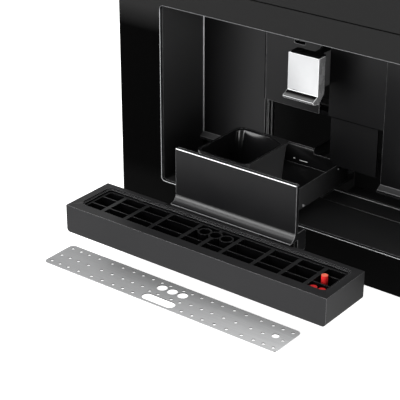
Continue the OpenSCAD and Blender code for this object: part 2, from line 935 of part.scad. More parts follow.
module tray_grid() {
  l = grid_l - 2 * grid_gap;
  w = grid_w - 2 * grid_gap;
  frame_t = rib_t / 2;
  r = seat_r - well_step - grid_gap;
  z = [grid_low, grid_z];
  color("#343436") placed() difference() {
    union() {
      translate([0, 0, grid_low]) linear_extrude(rib_h) difference() {
        tray_plan(l, w, r);
        tray_plan(l - 2 * frame_t, w - 2 * frame_t, r - frame_t);
      }
      for (share = cross_rib_shares)
        span([(share * l - rib_t) / 2, (share * l + rib_t) / 2],
             [seat_mid - w / 2 + frame_t / 2, seat_mid + w / 2 - frame_t / 2], z);
      for (share = row_place_shares)
        span([(frame_t - l) / 2, (l - frame_t) / 2],
             [seat_mid + (share * w - thin_rib_t) / 2, seat_mid + (share * w + thin_rib_t) / 2], z);
      for (i = [-1 : 1]) post(i * cup_hole_pitch, ring_y, grid_low, rib_h, ring_d);
    }
    for (i = [-1 : 1])
      post(i * cup_hole_pitch, ring_y, grid_low - cut, rib_h + 2 * cut, ring_d - 2 * ring_wall);
  }
}

// Red float: a drum under the grid with a peg that shows above it and two lower stubs.
float_drum_d = 30;
float_peg_d = 9;
float_h = 11;
float_x = 182;
float_off = 3;
float_y = seat_mid + float_off;
float_low = tray_z + tray_t + slide_gap;
float_foot_t = 4;
float_stub_gap = 0.85;
float_cell_front = grid_w / 2 - grid_gap - rib_t / 2;
float_cell_back = (thin_rib_t - row_place_shares[1] * (grid_w - 2 * grid_gap)) / 2;
float_stub_d = float_cell_front - float_cell_back - 2 * float_stub_gap;
float_stub_h = 30.5;
float_stub_x = [-2, 11];
float_stub_y = seat_mid - (float_cell_front + float_cell_back) / 2;

module float() {
  peg_top = tray_top - plate_seat / 2;
  color("#e3262c") placed() difference() {
    union() {
      post(float_x, float_y, float_low, float_h, float_drum_d);
      post(float_x, float_y, float_low, peg_top - float_low, float_peg_d);
      for (x = float_stub_x) post(float_x + x, float_stub_y, float_low, float_stub_h, float_stub_d);
      span([float_x + float_stub_x[0], float_x + float_stub_x[1]],
           [float_stub_y - float_stub_d / 2, float_y], [float_low, float_low + float_foot_t]);
    }
    post(float_x, float_y, float_low - cut, float_h - tray_t + cut, float_drum_d - 2 * tray_t);
  }
}

// Drip plate, lifted off and lying before the machine. Shares are of its half size.
hole_shares = [0.131, 0.057, 0.211, 0.3, 0.386, 0.485, 0.583, 0.704, 0.8, 0.878, 0.956];
row_shares = [0.725, -0.045, -0.725];
middle_drop_share = -0.13;
slot_row_share = -0.6;

module plate_holes() {
  half_l = plate_l / 2;
  half_w = plate_w / 2;
  last = len(hole_shares) - 1;
  for (side = [-1, 1], i = [0 : last], row = [0 : 2]) {
    near = i < 2;
    at_slot = near && row == 2;
    at_float = side > 0 && row == 1 && i == last - 1;
    y = row_shares[row] + (near && row == 1 ? middle_drop_share : 0);
    if (!at_slot && !at_float)
      translate([side * hole_shares[i] * half_l, y * half_w])
        circle(d = plate_hole_d, $fn = small_fn);
  }
}

module drip_plate() {
  half_w = plate_w / 2;
  color("#a9abae") placed() translate([plate_x, -plate_out, 0]) linear_extrude(plate_t)
    difference() {
      translate([-plate_l / 2, -half_w]) round_rect(plate_l, plate_w, plate_r);
      plate_holes();
      translate([float_x, float_off])
        circle(d = float_peg_d + 2 * tray_gap, $fn = round_fn);
      for (i = [-1 : 1])
        translate([i * cup_hole_pitch, ring_y - seat_mid])
          circle(d = cup_hole_d, $fn = round_fn);
      translate([0, slot_row_share * half_w]) long_slot(finger_slot_l, finger_slot_w);
    }
}

// Housing

foot_set = 30;
foot_x = body_w / 2 - foot_set;
foot_y = [carrier_back + foot_set, housing_back - foot_set];
foot_screw_d = 5;

module chassis_base() {
  color("#9a9da1") placed() difference() {
    span([-body_w / 2, body_w / 2], [carrier_back, housing_back], [foot_h, floor_z]);
    for (x = [-foot_x, foot_x], y = foot_y)
      post(x, y, foot_h - cut, base_t + 2 * cut, foot_screw_d);
  }
}

module feet() {
  color("#1c1c1c") placed() for (x = [-foot_x, foot_x], y = foot_y) difference() {
    translate([x, y, 0]) rotate_extrude($fn = round_fn) polygon([
      [0, 0], [foot_d / 2 - foot_h / 3, 0], [foot_d / 2, foot_h / 3],
      [foot_d / 2, foot_h], [0, foot_h]
    ]);
    post(x, y, foot_h / 2, foot_h, foot_screw_d);
  }
}

// Side walls: each has two fixing holes for the cabinet screws near its front edge.
fixing_set = 16;
fixing_rise = 90;
fixing_y = carrier_back + fixing_set;
fixing_z = floor_z + fixing_rise;

module side_wall() {
  difference() {
    span([inner_x, inner_x + sheet_t], [carrier_back, housing_back],
         [floor_z, roof_z]);
    for (z = [fixing_z, fixing_z + fixing_pitch])
      translate([inner_x - cut, fixing_y, z]) rotate([0, 90, 0])
        cylinder(h = sheet_t + 2 * cut, d = fixing_d, $fn = small_fn);
  }
}

module housing_left() {
  color("#a4a7ab") placed() mirror([1, 0, 0]) side_wall();
}

module housing_right() {
  color("#a4a7ab") placed() side_wall();
}

// Rear wall with vent slots and the mains inlet's cut-out.
vent_count = 14;
vent_pitch = 14;
vent_w = 5;
vent_l = 60;
vent_drop = 120;
vent_z = roof_z - vent_drop;
inlet_set = 76;
inlet_rise = 42;
inlet_x = inner_x - inlet_set;
inlet_z = floor_z + inlet_rise;
inlet_w = 28;
inlet_h = 21;
inlet_flange = 5;

module rear_panel() {
  color("#9ea1a5") placed() stand_up(housing_back - sheet_t, sheet_t) difference() {
    translate([-inner_x, floor_z]) square([2 * inner_x, roof_z - floor_z]);
    for (i = [0 : vent_count - 1])
      translate([(i - (vent_count - 1) / 2) * vent_pitch, vent_z])
        rotate(90) long_slot(vent_l, vent_w);
    translate([inlet_x - inlet_w / 2, inlet_z - inlet_h / 2]) square([inlet_w, inlet_h]);
  }
}

screw_set = 14;
screw_x = inner_x - screw_set;
screw_z = [floor_z + screw_set, (floor_z + roof_z) / 2, roof_z - screw_set];
cross_w = 1;
cross_l = 5;

module housing_screws() {
  color("#c4c6c9") placed() for (x = [-screw_x, screw_x], z = screw_z)
    translate([x, housing_back, z]) rotate([-90, 0, 0]) difference() {
      cylinder(h = screw_head_t, d = screw_head_d, $fn = small_fn);
      for (turn = [0, 90]) rotate(turn)
        translate([-cross_l / 2, -cross_w / 2, screw_head_t / 2])
          cube([cross_l, cross_w, screw_head_t]);
    }
}

// Hinges of the two top lids: the pin runs through a round knuckle at the lid's rear edge.
lid_t = 6;
lid_pin_d = 3;
ear_w = 6;
ear_set = 14;
dip_r = 10;

// A lid of a given plan, its pin in the middle of the rear edge's thickness.
module hinged_lid(x, y, z, w, d, r) {
  pin = [y + d - lid_t / 2, z + lid_t / 2];
  knuckle = [x + ear_set + ear_w + pass_gap, x + w - ear_set - ear_w - pass_gap];
  difference() {
    union() {
      translate([x, y, z]) linear_extrude(lid_t) round_rect(w, d - lid_t - pass_gap, r);
      span(knuckle, [y + d - 2 * lid_t, pin[0]], [z, z + lid_t]);
      translate([knuckle[0], pin[0], pin[1]]) rotate([0, 90, 0])
        cylinder(h = knuckle[1] - knuckle[0], d = lid_t, $fn = small_fn);
    }
    translate([x, pin[0], pin[1]]) rotate([0, 90, 0])
      cylinder(h = w, d = lid_pin_d + 2 * bearing_gap, $fn = small_fn);
    post(x + w / 2, y, z + lid_t / 2, lid_t, 2 * dip_r);
  }
}

// The two ears that hold such a lid's pin, down to a given height, and the pin.
module lid_ears(x, y, z, w, d, low) {
  pin = [y + d - lid_t / 2, z + lid_t / 2];
  for (start = [x + ear_set, x + w - ear_set - ear_w]) {
    span([start, start + ear_w], [pin[0] - lid_t / 2, pin[0] + lid_t / 2], [low, pin[1]]);
    translate([start, pin[0], pin[1]]) rotate([0, 90, 0])
      cylinder(h = ear_w, d = lid_t, $fn = small_fn);
  }
  translate([x + ear_set, pin[0], pin[1]]) rotate([0, 90, 0])
    cylinder(h = w - 2 * ear_set, d = lid_pin_d, $fn = small_fn);
}

// Top cover with the openings for the water tank and the bean hopper.
tank_r = 12;
tank_set = 14;
tank_x = tank_set - inner_x;
tank_rear_gap = 45.5;
tank_y = bay_back - tank_d - tank_rear_gap;
tank_sink = 13;
tank_z = housing_top - tank_sink - tank_h;
tank_lid_z = housing_top - tank_sink + slide_gap;
hopper_set = 17;
hopper_x = inner_x - hopper_set - hopper_w;
hopper_y = 210;
hatch_gap = 1.5;
hatch_rear = 4;
lid_over = 6;
bean_lid_z = housing_top + panel_gap;
bean_lid_y = hopper_y - lid_over;
bean_lid_w = hopper_w + 2 * lid_over;
bean_lid_d = hopper_d + 2 * lid_over + 2 * lid_t;

module top_cover() {
  color("#a4a7ab") placed() {
    translate([0, 0, roof_z]) linear_extrude(sheet_t) difference() {
      translate([-body_w / 2, carrier_back]) square([body_w, housing_d]);
      translate([tank_x - hatch_gap, tank_y - hatch_gap])
        square([tank_w + 2 * hatch_gap, tank_d + hatch_gap + hatch_rear]);
      translate([hopper_x - hatch_gap, hopper_y - hatch_gap])
        square([hopper_w + 2 * hatch_gap, hopper_d + 2 * hatch_gap]);
    }
    lid_ears(hopper_x - lid_over, bean_lid_y, bean_lid_z, bean_lid_w, bean_lid_d, housing_top);
  }
}

// Water tank, lifted straight out of the top

valve_d = 18;
valve_h = 8;
valve_bore = 6;
tank_mid_x = tank_x + tank_w / 2;
tank_mid_y = tank_y + tank_d / 2;

module tank_plan(step) {
  translate([tank_x + step, tank_y + step])
    round_rect(tank_w - 2 * step, tank_d - 2 * step, tank_r - step);
}

module water_tank() {
  top = tank_z + tank_h;
  color([0.75, 0.82, 0.88, 0.6]) placed() {
    difference() {
      translate([0, 0, tank_z]) linear_extrude(tank_h) tank_plan(0);
      translate([0, 0, tank_z + tank_t]) linear_extrude(tank_h) tank_plan(tank_t);
      post(tank_mid_x, tank_mid_y, tank_z - cut, tank_t + 2 * cut, valve_bore);
    }
    lid_ears(tank_x, tank_y, tank_lid_z, tank_w, tank_d, top - lid_t);
  }
}

module tank_lid() {
  color("#1a1b1d") placed() hinged_lid(tank_x, tank_y, tank_lid_z, tank_w, tank_d, tank_r);
}

seat_h = 8;
shelf_margin = 12;
shelf_t = 3;
shelf_top = tank_z - slide_gap - seat_h;

module tank_seat() {
  color("#2e3033") placed() difference() {
    union() {
      translate([0, 0, shelf_top]) linear_extrude(seat_h) tank_plan(tank_r / 2);
      post(tank_mid_x, tank_mid_y, shelf_top - valve_h, valve_h, valve_d);
    }
    post(tank_mid_x, tank_mid_y, shelf_top - valve_h - cut, seat_h + valve_h + 2 * cut,
         valve_bore);
  }
}

// Pipe from the tank's valve down and back to the pump.
pipe_d = 9;
pipe_bend = 22;
pump_d = 46;
pump_l = 86;
pump_rise = 32;
pump_z = floor_z + pump_rise;
pump_y = housing_back - pump_d - 2 * open_gap;
port_d = 12;
port_h = 3;
port_top = pump_z + pump_d / 2 + port_h;
pipe_rise = 30;
pipe_z = port_top + pipe_rise;

module tank_shelf() {
  far = tank_x + tank_w + shelf_margin;
  y = [tank_y - shelf_margin, tank_y + tank_d + shelf_margin];
  color("#8d9094") placed() difference() {
    union() {
      span([-inner_x, far], y, [shelf_top - shelf_t, shelf_top]);
      for (end = [y[0], y[1] - shelf_t])
        span([-inner_x, far], [end, end + shelf_t], [floor_z, shelf_top - shelf_t]);
    }
    post(tank_mid_x, tank_mid_y, shelf_top - shelf_t - cut, shelf_t + 2 * cut,
         valve_d + 2 * pass_gap);
    translate([tank_mid_x, tank_mid_y, pipe_z]) rotate([-90, 0, 0])
      cylinder(h = tank_d, d = pipe_d + 2 * pass_gap, $fn = small_fn);
  }
}

module pipe_elbow() {
  rotate_extrude(angle = 90, $fn = round_fn) translate([pipe_bend, 0])
    circle(d = pipe_d, $fn = small_fn);
}

module water_pipe() {
  start_z = shelf_top - valve_h;
  color("#d8dadd") placed() {
    post(tank_mid_x, tank_mid_y, pipe_z + pipe_bend, start_z - pipe_z - pipe_bend, pipe_d);
    translate([tank_mid_x, tank_mid_y + pipe_bend, pipe_z + pipe_bend])
      rotate([0, -90, 0]) rotate([0, 0, 180]) pipe_elbow();
    translate([tank_mid_x, tank_mid_y + pipe_bend, pipe_z]) rotate([-90, 0, 0])
      cylinder(h = pump_y - tank_mid_y - 2 * pipe_bend, d = pipe_d, $fn = small_fn);
    translate([tank_mid_x, pump_y - pipe_bend, pipe_z - pipe_bend]) rotate([0, -90, 0])
      pipe_elbow();
    post(tank_mid_x, pump_y, port_top, pipe_rise - pipe_bend, pipe_d);
  }
}

module pump() {
  start = tank_mid_x - pump_l / 2;
  color("#5b5f66") placed() {
    translate([start, pump_y, pump_z]) rotate([0, 90, 0])
      cylinder(h = pump_l, d = pump_d, $fn = round_fn);
    post(tank_mid_x, pump_y, pump_z, port_top - pump_z, port_d);
    for (x = [start + port_d, start + pump_l - 2 * port_d])
      span([x, x + port_d], [pump_y - pump_d / 2, pump_y + pump_d / 2], [floor_z, pump_z]);
  }
}

// Beans, grinder and chute

grinder_x = hopper_x + hopper_w / 2;
grinder_y = hopper_y + hopper_d / 2;
hopper_z = housing_top - panel_gap - hopper_h;
hopper_t = 2.5;
throat_d = 44;
grinder_h = 60;
grinder_z = hopper_z - slide_gap - grinder_h;
motor_h = 120;
motor_d = 62;
motor_band_t = 4;
motor_z = grinder_z - motor_h;
shaft_d = 10;
burr_d = 54;
burr_h = 24;
burr_rise = 16;
burr_z = grinder_z + burr_rise;
burr_gap = 4;
outlet_d = 30;
outlet_l = 8;
outlet_bore = 20;
outlet_z = grinder_z + outlet_d / 2;
outlet_x = grinder_x - grinder_d / 2 - outlet_l;

module bean_hopper() {
  floor_drop = hopper_h - 3 * hopper_t;
  color([0.35, 0.32, 0.3, 0.8]) placed() translate([hopper_x, hopper_y, hopper_z]) difference() {
    linear_extrude(hopper_h) round_rect(hopper_w, hopper_d, tank_r);
    translate([hopper_t, hopper_t, hopper_h - floor_drop / 2]) linear_extrude(hopper_h)
      round_rect(hopper_w - 2 * hopper_t, hopper_d - 2 * hopper_t, tank_r - hopper_t);
    hull($fn = hull_fn) {
      translate([hopper_t, hopper_t, hopper_h - floor_drop / 2]) linear_extrude(bearing_gap)
        round_rect(hopper_w - 2 * hopper_t, hopper_d - 2 * hopper_t, tank_r - hopper_t);
      post(hopper_w / 2, hopper_d / 2, hopper_t, bearing_gap, throat_d);
    }
    post(hopper_w / 2, hopper_d / 2, -cut, hopper_t + 2 * cut, throat_d);
  }
}

module bean_lid() {
  color("#1a1b1d") placed()
    hinged_lid(hopper_x - lid_over, bean_lid_y, bean_lid_z, bean_lid_w, bean_lid_d, tank_r);
}

module grinder_housing() {
  color("#3c3f44") placed() difference() {
    union() {
      post(grinder_x, grinder_y, grinder_z, grinder_h, grinder_d);
      translate([outlet_x, grinder_y, outlet_z]) rotate([0, 90, 0])
        cylinder(h = grinder_d / 2, d = outlet_d, $fn = round_fn);
    }
    post(grinder_x, grinder_y, burr_z - burr_gap, grinder_h, burr_d + 2 * burr_gap);
    post(grinder_x, grinder_y, grinder_z - cut, grinder_h, shaft_d + 2 * pass_gap);
    translate([outlet_x - cut, grinder_y, outlet_z]) rotate([0, 90, 0])
      cylinder(h = grinder_x - outlet_x - burr_d / 2, d = outlet_bore, $fn = round_fn);
  }
}

// Conical burr on the motor's shaft, with cutting flutes round it.
flute_count = 12;
flute_w = 3;

module grinder_burr() {
  color("#b8babd") placed() translate([grinder_x, grinder_y, 0]) {
    translate([0, 0, burr_z]) difference() {
      rotate_extrude($fn = round_fn) polygon([
        [0, 0], [burr_d / 2, 0], [burr_d / 2, burr_h / 3], [shaft_d, burr_h], [0, burr_h]
      ]);
      for (i = [0 : flute_count - 1]) rotate(i * 360 / flute_count)
        translate([burr_d / 2 - flute_w, -flute_w / 2, -cut])
          cube([flute_w + cut, flute_w, burr_h + 2 * cut]);
    }
    translate([0, 0, grinder_z + slide_gap])
      cylinder(h = burr_z - grinder_z - slide_gap, d = shaft_d, $fn = round_fn);
  }
}

module grinder_motor() {
  color("#6a6d72") placed() {
    post(grinder_x, grinder_y, motor_z, motor_h, motor_d);
    post(grinder_x, grinder_y, motor_z + motor_h / 4, motor_h / 2, motor_d + 2 * motor_band_t);
  }
}

stand_t = 3;
stand_w = 96;

module grinder_stand() {
  x = [grinder_x - stand_w / 2, grinder_x + stand_w / 2];
  y = [grinder_y - stand_w / 2, grinder_y + stand_w / 2];
  color("#8d9094") placed() {
    span(x, y, [motor_z - stand_t, motor_z]);
    for (side = [x[0], x[1] - stand_t])
      span([side, side + stand_t], y, [floor_z, motor_z - stand_t]);
  }
}

// Sloping chute that drops the ground coffee beside the brewing chamber.
brew_low = bay_top + shell_t;
shelf_rise = 8;
brew_plate_t = 4;
brew_shelf_z = brew_low + shelf_rise;
chamber_x = -40;
chamber_y = grinder_y;
chamber_h = 70;
chamber_wall = 5;
chamber_z = brew_shelf_z + brew_plate_t;
piston_gap = 5;
piston_h = 20;
piston_z = chamber_z + chamber_h + piston_gap;
chute_t = 2;
chute_h = 24;

module coffee_chute() {
  x = [chamber_x + chamber_d / 2 + piston_gap, outlet_x - slide_gap];
  low = [chamber_z + chamber_h + slide_gap, outlet_z - chute_h / 2];
  color("#4a4c50") placed() difference() {
    stand_up(chamber_y - chute_h / 2, chute_h) polygon([
      [x[0], low[0]], [x[1], low[1]],
      [x[1], low[1] + chute_h], [x[0], low[0] + chute_h]
    ]);
    stand_up(chamber_y - chute_h / 2 + chute_t, chute_h - 2 * chute_t) polygon([
      [x[0] - cut, low[0] + chute_t], [x[0], low[0] + chute_t],
      [x[1], low[1] + chute_t], [x[1] + cut, low[1] + chute_t],
      [x[1] + cut, low[1] + chute_h - chute_t], [x[1], low[1] + chute_h - chute_t],
      [x[0], low[0] + chute_h - chute_t], [x[0] - cut, low[0] + chute_h - chute_t]
    ]);
  }
}

// Brewing unit: a screw behind the back plate pulls the piston into the chamber.

frame_half_w = 55;
frame_half_d = 38;
frame_x = [chamber_x - frame_half_w, chamber_x + frame_half_w];
frame_y = [chamber_y - frame_half_d, chamber_y + frame_half_d];
brew_screw_d = 12;
brew_screw_set = 24;
screw_y = frame_y[1] + brew_plate_t + brew_screw_set;
brew_h = 172;
brew_top = brew_shelf_z + brew_h;
stroke = 40;
rod_l = 47;
head_z = piston_z + piston_h + rod_l;
head_t = 8;
head_slot_w = 24;
bearing_t = 5;
bearing_w = 40;
drive_h = 38;
drive_d = 44;
drive_z = brew_low + brew_plate_t / 2;
screw_low = drive_z + drive_h;

module brew_frame() {
  back = [frame_y[1], frame_y[1] + brew_plate_t];
  rear = [back[1], screw_y + brew_screw_d + brew_plate_t];
  bearing_x = [chamber_x - bearing_w / 2, chamber_x + bearing_w / 2];
  color("#27292c") placed() difference() {
    union() {
      span(frame_x, back, [brew_low, brew_top]);
      span(frame_x, [frame_y[0], back[0]], [brew_shelf_z, chamber_z]);
      span(frame_x, [chamber_y, back[0]], [brew_low, drive_z]);
      span(bearing_x, rear, [screw_low, screw_low + bearing_t]);
      span(bearing_x, rear, [brew_top - bearing_t, brew_top]);
      span([chamber_x - drive_d / 2, chamber_x + drive_d / 2], rear, [brew_low, drive_z]);
    }
    span([chamber_x - head_slot_w / 2, chamber_x + head_slot_w / 2],
         [back[0] - cut, back[1] + cut],
         [head_z - stroke - chute_t, head_z + head_t + chute_t]);
    for (z = [screw_low, brew_top - bearing_t])
      post(chamber_x, screw_y, z - cut, bearing_t + 2 * cut, brew_screw_d + 2 * bearing_gap);
  }
}

module brew_chamber() {
  color("#303338") placed() difference() {
    post(chamber_x, chamber_y, chamber_z, chamber_h, chamber_d + 2 * chamber_wall);
    post(chamber_x, chamber_y, chamber_z + chamber_wall, chamber_h, chamber_d);
  }
}

piston_rod_d = 16;

module brew_piston() {
  color("#c2c4c8") placed() difference() {
    union() {
      post(chamber_x, chamber_y, piston_z, piston_h, chamber_d - 2 * slide_gap);
      post(chamber_x, chamber_y, piston_z + piston_h, rod_l, piston_rod_d);
      span([chamber_x - piston_rod_d / 2, chamber_x + piston_rod_d / 2],
           [chamber_y - piston_rod_d / 2, screw_y + brew_screw_d], [head_z, head_z + head_t]);
    }
    post(chamber_x, screw_y, head_z - cut, head_t + 2 * cut, brew_screw_d + 2 * slide_gap);
  }
}

collar_h = 3;
collar_d = 16;

module brew_screw() {
  color("#d2d4d6") placed() {
    post(chamber_x, screw_y, screw_low, brew_top - screw_low, brew_screw_d);
    post(chamber_x, screw_y, brew_top, collar_h, collar_d);
  }
}

module brew_motor() {
  color("#55585d") placed() {
    post(chamber_x, screw_y, drive_z, drive_h - collar_h, drive_d);
    post(chamber_x, screw_y, drive_z, drive_h - slide_gap, collar_d);
  }
}

// Heater, electronics and mains inlet

boiler_w = 120;
boiler_d = 56;
boiler_h = 84;
boiler_x = -70;
boiler_set = 14;
band_t = 3;
band_proud = 2;

module boiler() {
  y = housing_back - boiler_d - boiler_set;
  color("#b4b6b9") placed() {
    translate([boiler_x, y, floor_z]) linear_extrude(boiler_h)
      round_rect(boiler_w, boiler_d, tank_r);
    for (x = [boiler_x + 2 * port_d, boiler_x + boiler_w - 2 * port_d])
      post(x, y + boiler_d / 2, floor_z + boiler_h, port_d, port_d);
    for (z = [floor_z + boiler_h / 3, floor_z + 2 * boiler_h / 3])
      translate([boiler_x - band_proud, y - band_proud, z]) linear_extrude(band_t)
        round_rect(boiler_w + 2 * band_proud, boiler_d + 2 * band_proud, tank_r + band_proud);
  }
}

board_l = 130;
board_h = 150;
board_set = 28;
board_y = carrier_back + board_set;
board_z = 150;
board_post = 8;
chip_w = 14;
chip_l = 20;
chip_h = 28;
cap_h = 22;

module main_board() {
  x = board_post - inner_x;
  face = x + board_t;
  color("#1e5b38") placed() mirror([1, 0, 0]) {
    span([x, face], [board_y, board_y + board_l], [board_z, board_z + board_h]);
    for (y = [board_y + chip_w, board_y + board_l - chip_w],
         z = [board_z + chip_w, board_z + board_h - chip_w])
      translate([-inner_x, y, z]) rotate([0, 90, 0])
        cylinder(h = board_post, d = board_post, $fn = small_fn);
    for (i = [0 : 3])
      span([face, face + chip_w],
           [board_y + chip_w + i * chip_h, board_y + chip_w + chip_l + i * chip_h],
           [board_z + 2 * chip_w, board_z + 2 * chip_w + chip_h]);
    for (i = [0 : 2])
      translate([face, board_y + 2 * chip_w + i * chip_h, board_z + board_h - 2 * chip_h])
        rotate([0, 90, 0]) cylinder(h = cap_h, d = chip_w, $fn = small_fn);
  }
}

// Mains inlet: a flanged socket with three blades, set in the rear wall.
inlet_d = 24;
inlet_wall = 2.6;
blade_t = 2;
blade_h = 4;
blade_l = 14;
blade_x = 7;

module inlet_socket() {
  back = housing_back;
  color("#202123") placed() {
    difference() {
      union() {
        span([inlet_x - inlet_w / 2 + seam_gap, inlet_x + inlet_w / 2 - seam_gap],
             [back - inlet_d, back],
             [inlet_z - inlet_h / 2 + seam_gap, inlet_z + inlet_h / 2 - seam_gap]);
        span([inlet_x - inlet_w / 2 - inlet_flange, inlet_x + inlet_w / 2 + inlet_flange],
             [back, back + screw_head_t],
             [inlet_z - inlet_h / 2 - inlet_flange, inlet_z + inlet_h / 2 + inlet_flange]);
      }
      span([inlet_x - inlet_w / 2 + inlet_wall, inlet_x + inlet_w / 2 - inlet_wall],
           [back - inlet_d + inlet_wall, back + screw_head_t + cut],
           [inlet_z - inlet_h / 2 + inlet_wall, inlet_z + inlet_h / 2 - inlet_wall]);
    }
    for (i = [-1 : 1])
      span([inlet_x + i * blade_x - blade_t / 2, inlet_x + i * blade_x + blade_t / 2],
           [back - inlet_d + inlet_wall, back - inlet_d + inlet_wall + blade_l],
           [inlet_z - blade_h / 2 + (i == 0 ? blade_h / 2 : 0),
            inlet_z + blade_h / 2 + (i == 0 ? blade_h / 2 : 0)]);
  }
}

fascia();
control_glass();
front_carrier();
niche_trim();
display_module();
power_button();
button_switch();
niche_liner();
niche_floor();
back_walls();
spout_panel_left();
spout_panel_right();
bay_cover();
bay_jamb();
bay_shell();
gutters();
cup_light();
spout_cover();
spout_body();
spout_nozzles();
spout_slide();
spout_rods();
rod_brackets();
drawer_front();
drawer_body();
drawer_rails();
fixed_rails();
grounds_container();
drip_tray();
tray_grid();
float();
drip_plate();
chassis_base();
housing_left();
housing_right();
rear_panel();
top_cover();
feet();
housing_screws();
water_tank();
tank_lid();
tank_seat();
tank_shelf();
water_pipe();
bean_hopper();
bean_lid();
grinder_housing();
grinder_burr();
grinder_motor();
grinder_stand();
coffee_chute();
brew_frame();
brew_chamber();
brew_piston();
brew_screw();
brew_motor();
boiler();
pump();
main_board();
inlet_socket();
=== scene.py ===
import math

import bmesh
import bpy
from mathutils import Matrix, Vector


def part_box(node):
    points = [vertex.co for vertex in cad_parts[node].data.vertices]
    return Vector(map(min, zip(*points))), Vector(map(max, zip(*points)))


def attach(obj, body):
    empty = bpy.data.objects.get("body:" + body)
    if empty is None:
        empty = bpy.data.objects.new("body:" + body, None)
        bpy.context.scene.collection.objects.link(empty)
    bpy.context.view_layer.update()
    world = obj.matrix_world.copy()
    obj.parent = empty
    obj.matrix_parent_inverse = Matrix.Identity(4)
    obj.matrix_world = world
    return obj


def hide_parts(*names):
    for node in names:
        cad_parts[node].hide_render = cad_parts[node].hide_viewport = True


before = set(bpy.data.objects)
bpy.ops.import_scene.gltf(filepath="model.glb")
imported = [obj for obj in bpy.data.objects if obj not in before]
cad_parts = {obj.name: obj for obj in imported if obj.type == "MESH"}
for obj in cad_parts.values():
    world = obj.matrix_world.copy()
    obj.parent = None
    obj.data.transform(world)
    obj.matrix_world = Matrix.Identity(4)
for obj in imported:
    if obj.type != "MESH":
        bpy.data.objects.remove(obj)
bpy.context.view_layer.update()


# Studio
# The machine stands on a plain pale floor that rises behind it without an edge.
# Large soft lights stand in front, on the right, above and behind, as for a catalogue picture.
mm = 0.001
scene = bpy.context.scene
front_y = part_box("fascia")[0][1]
surface_z = 0.0


def new_material(name):
    material = bpy.data.materials.new(name)
    material.use_nodes = True
    return material, material.node_tree.nodes, material.node_tree.links


def noise(nodes, links, scale, stretch=(1, 1, 1), detail=4.0, roughness=0.5):
    place = nodes.new("ShaderNodeTexCoord")
    mapping = nodes.new("ShaderNodeMapping")
    mapping.inputs["Scale"].default_value = stretch
    texture = nodes.new("ShaderNodeTexNoise")
    texture.inputs["Scale"].default_value = scale
    texture.inputs["Detail"].default_value = detail
    texture.inputs["Roughness"].default_value = roughness
    links.new(place.outputs["Object"], mapping.inputs["Vector"])
    links.new(mapping.outputs["Vector"], texture.inputs["Vector"])
    return texture.outputs["Fac"]


def spread(nodes, links, source, low, high, start=0.3, end=0.7):
    ramp = nodes.new("ShaderNodeMapRange")
    ramp.inputs["From Min"].default_value = start
    ramp.inputs["From Max"].default_value = end
    ramp.inputs["To Min"].default_value = low
    ramp.inputs["To Max"].default_value = high
    links.new(source, ramp.inputs["Value"])
    return ramp.outputs["Result"]


def tint(nodes, links, source, dark, light, start=0.3, end=0.7):
    ramp = nodes.new("ShaderNodeValToRGB")
    ramp.color_ramp.elements[0].position = start
    ramp.color_ramp.elements[0].color = (*dark, 1)
    ramp.color_ramp.elements[1].position = end
    ramp.color_ramp.elements[1].color = (*light, 1)
    links.new(source, ramp.inputs["Fac"])
    return ramp.outputs["Color"]


def grain(nodes, links, shader, source, strength, depth):
    bump = nodes.new("ShaderNodeBump")
    bump.inputs["Strength"].default_value = strength
    bump.inputs["Distance"].default_value = depth
    links.new(source, bump.inputs["Height"])
    links.new(bump.outputs["Normal"], shader.inputs["Normal"])


def studio_floor():
    material, nodes, links = new_material("studio_floor")
    shader = nodes["Principled BSDF"]
    tone = noise(nodes, links, 3.0, detail=2.0)
    links.new(tint(nodes, links, tone, (0.86, 0.86, 0.86), (0.9, 0.9, 0.9)),
              shader.inputs["Base Color"])
    shader.inputs["Roughness"].default_value = 0.6
    shader.inputs["Emission Color"].default_value = (1, 1, 1, 1)
    shader.inputs["Emission Strength"].default_value = 0.78
    return material


def make_floor():
    half_w = 6.0
    front = -6.0
    back = 3.4
    bend = 1.6
    height = 4.0
    steps = 16
    profile = [(front, surface_z)]
    for step in range(steps + 1):
        angle = math.pi / 2 * step / steps
        profile.append((back + bend * math.sin(angle), surface_z + bend * (1 - math.cos(angle))))
    profile.append((back + bend, surface_z + height))
    mesh = bpy.data.meshes.new("floor")
    points = [(side * half_w, y, z) for y, z in profile for side in (-1, 1)]
    faces = [(2 * i, 2 * i + 1, 2 * i + 3, 2 * i + 2) for i in range(len(profile) - 1)]
    mesh.from_pydata(points, [], faces)
    mesh.polygons.foreach_set("use_smooth", [True] * len(faces))
    floor = bpy.data.objects.new("floor", mesh)
    floor.data.materials.append(studio_floor())
    scene.collection.objects.link(floor)
    return floor


def area_light(name, place, aim, width, height, power):
    light = bpy.data.lights.new(name, "AREA")
    light.shape = "RECTANGLE"
    light.size = width
    light.size_y = height
    light.energy = power
    lamp = bpy.data.objects.new(name, light)
    lamp.location = place
    lamp.rotation_euler = (Vector(aim) - Vector(place)).to_track_quat("-Z", "Y").to_euler()
    scene.collection.objects.link(lamp)


def make_camera():
    yaw = math.radians(37.532)
    pitch = math.radians(26.021)
    camera = bpy.data.objects.new("camera", bpy.data.cameras.new("camera"))
    camera.data.sensor_width = 36.0
    camera.data.lens = 128.94
    camera.data.clip_end = 50.0
    camera.location = (1036.39 * mm, front_y - 1539.17 * mm, 996.19 * mm)
    camera.rotation_euler = (math.pi / 2 - pitch, 0, yaw)
    scene.collection.objects.link(camera)
    scene.camera = camera


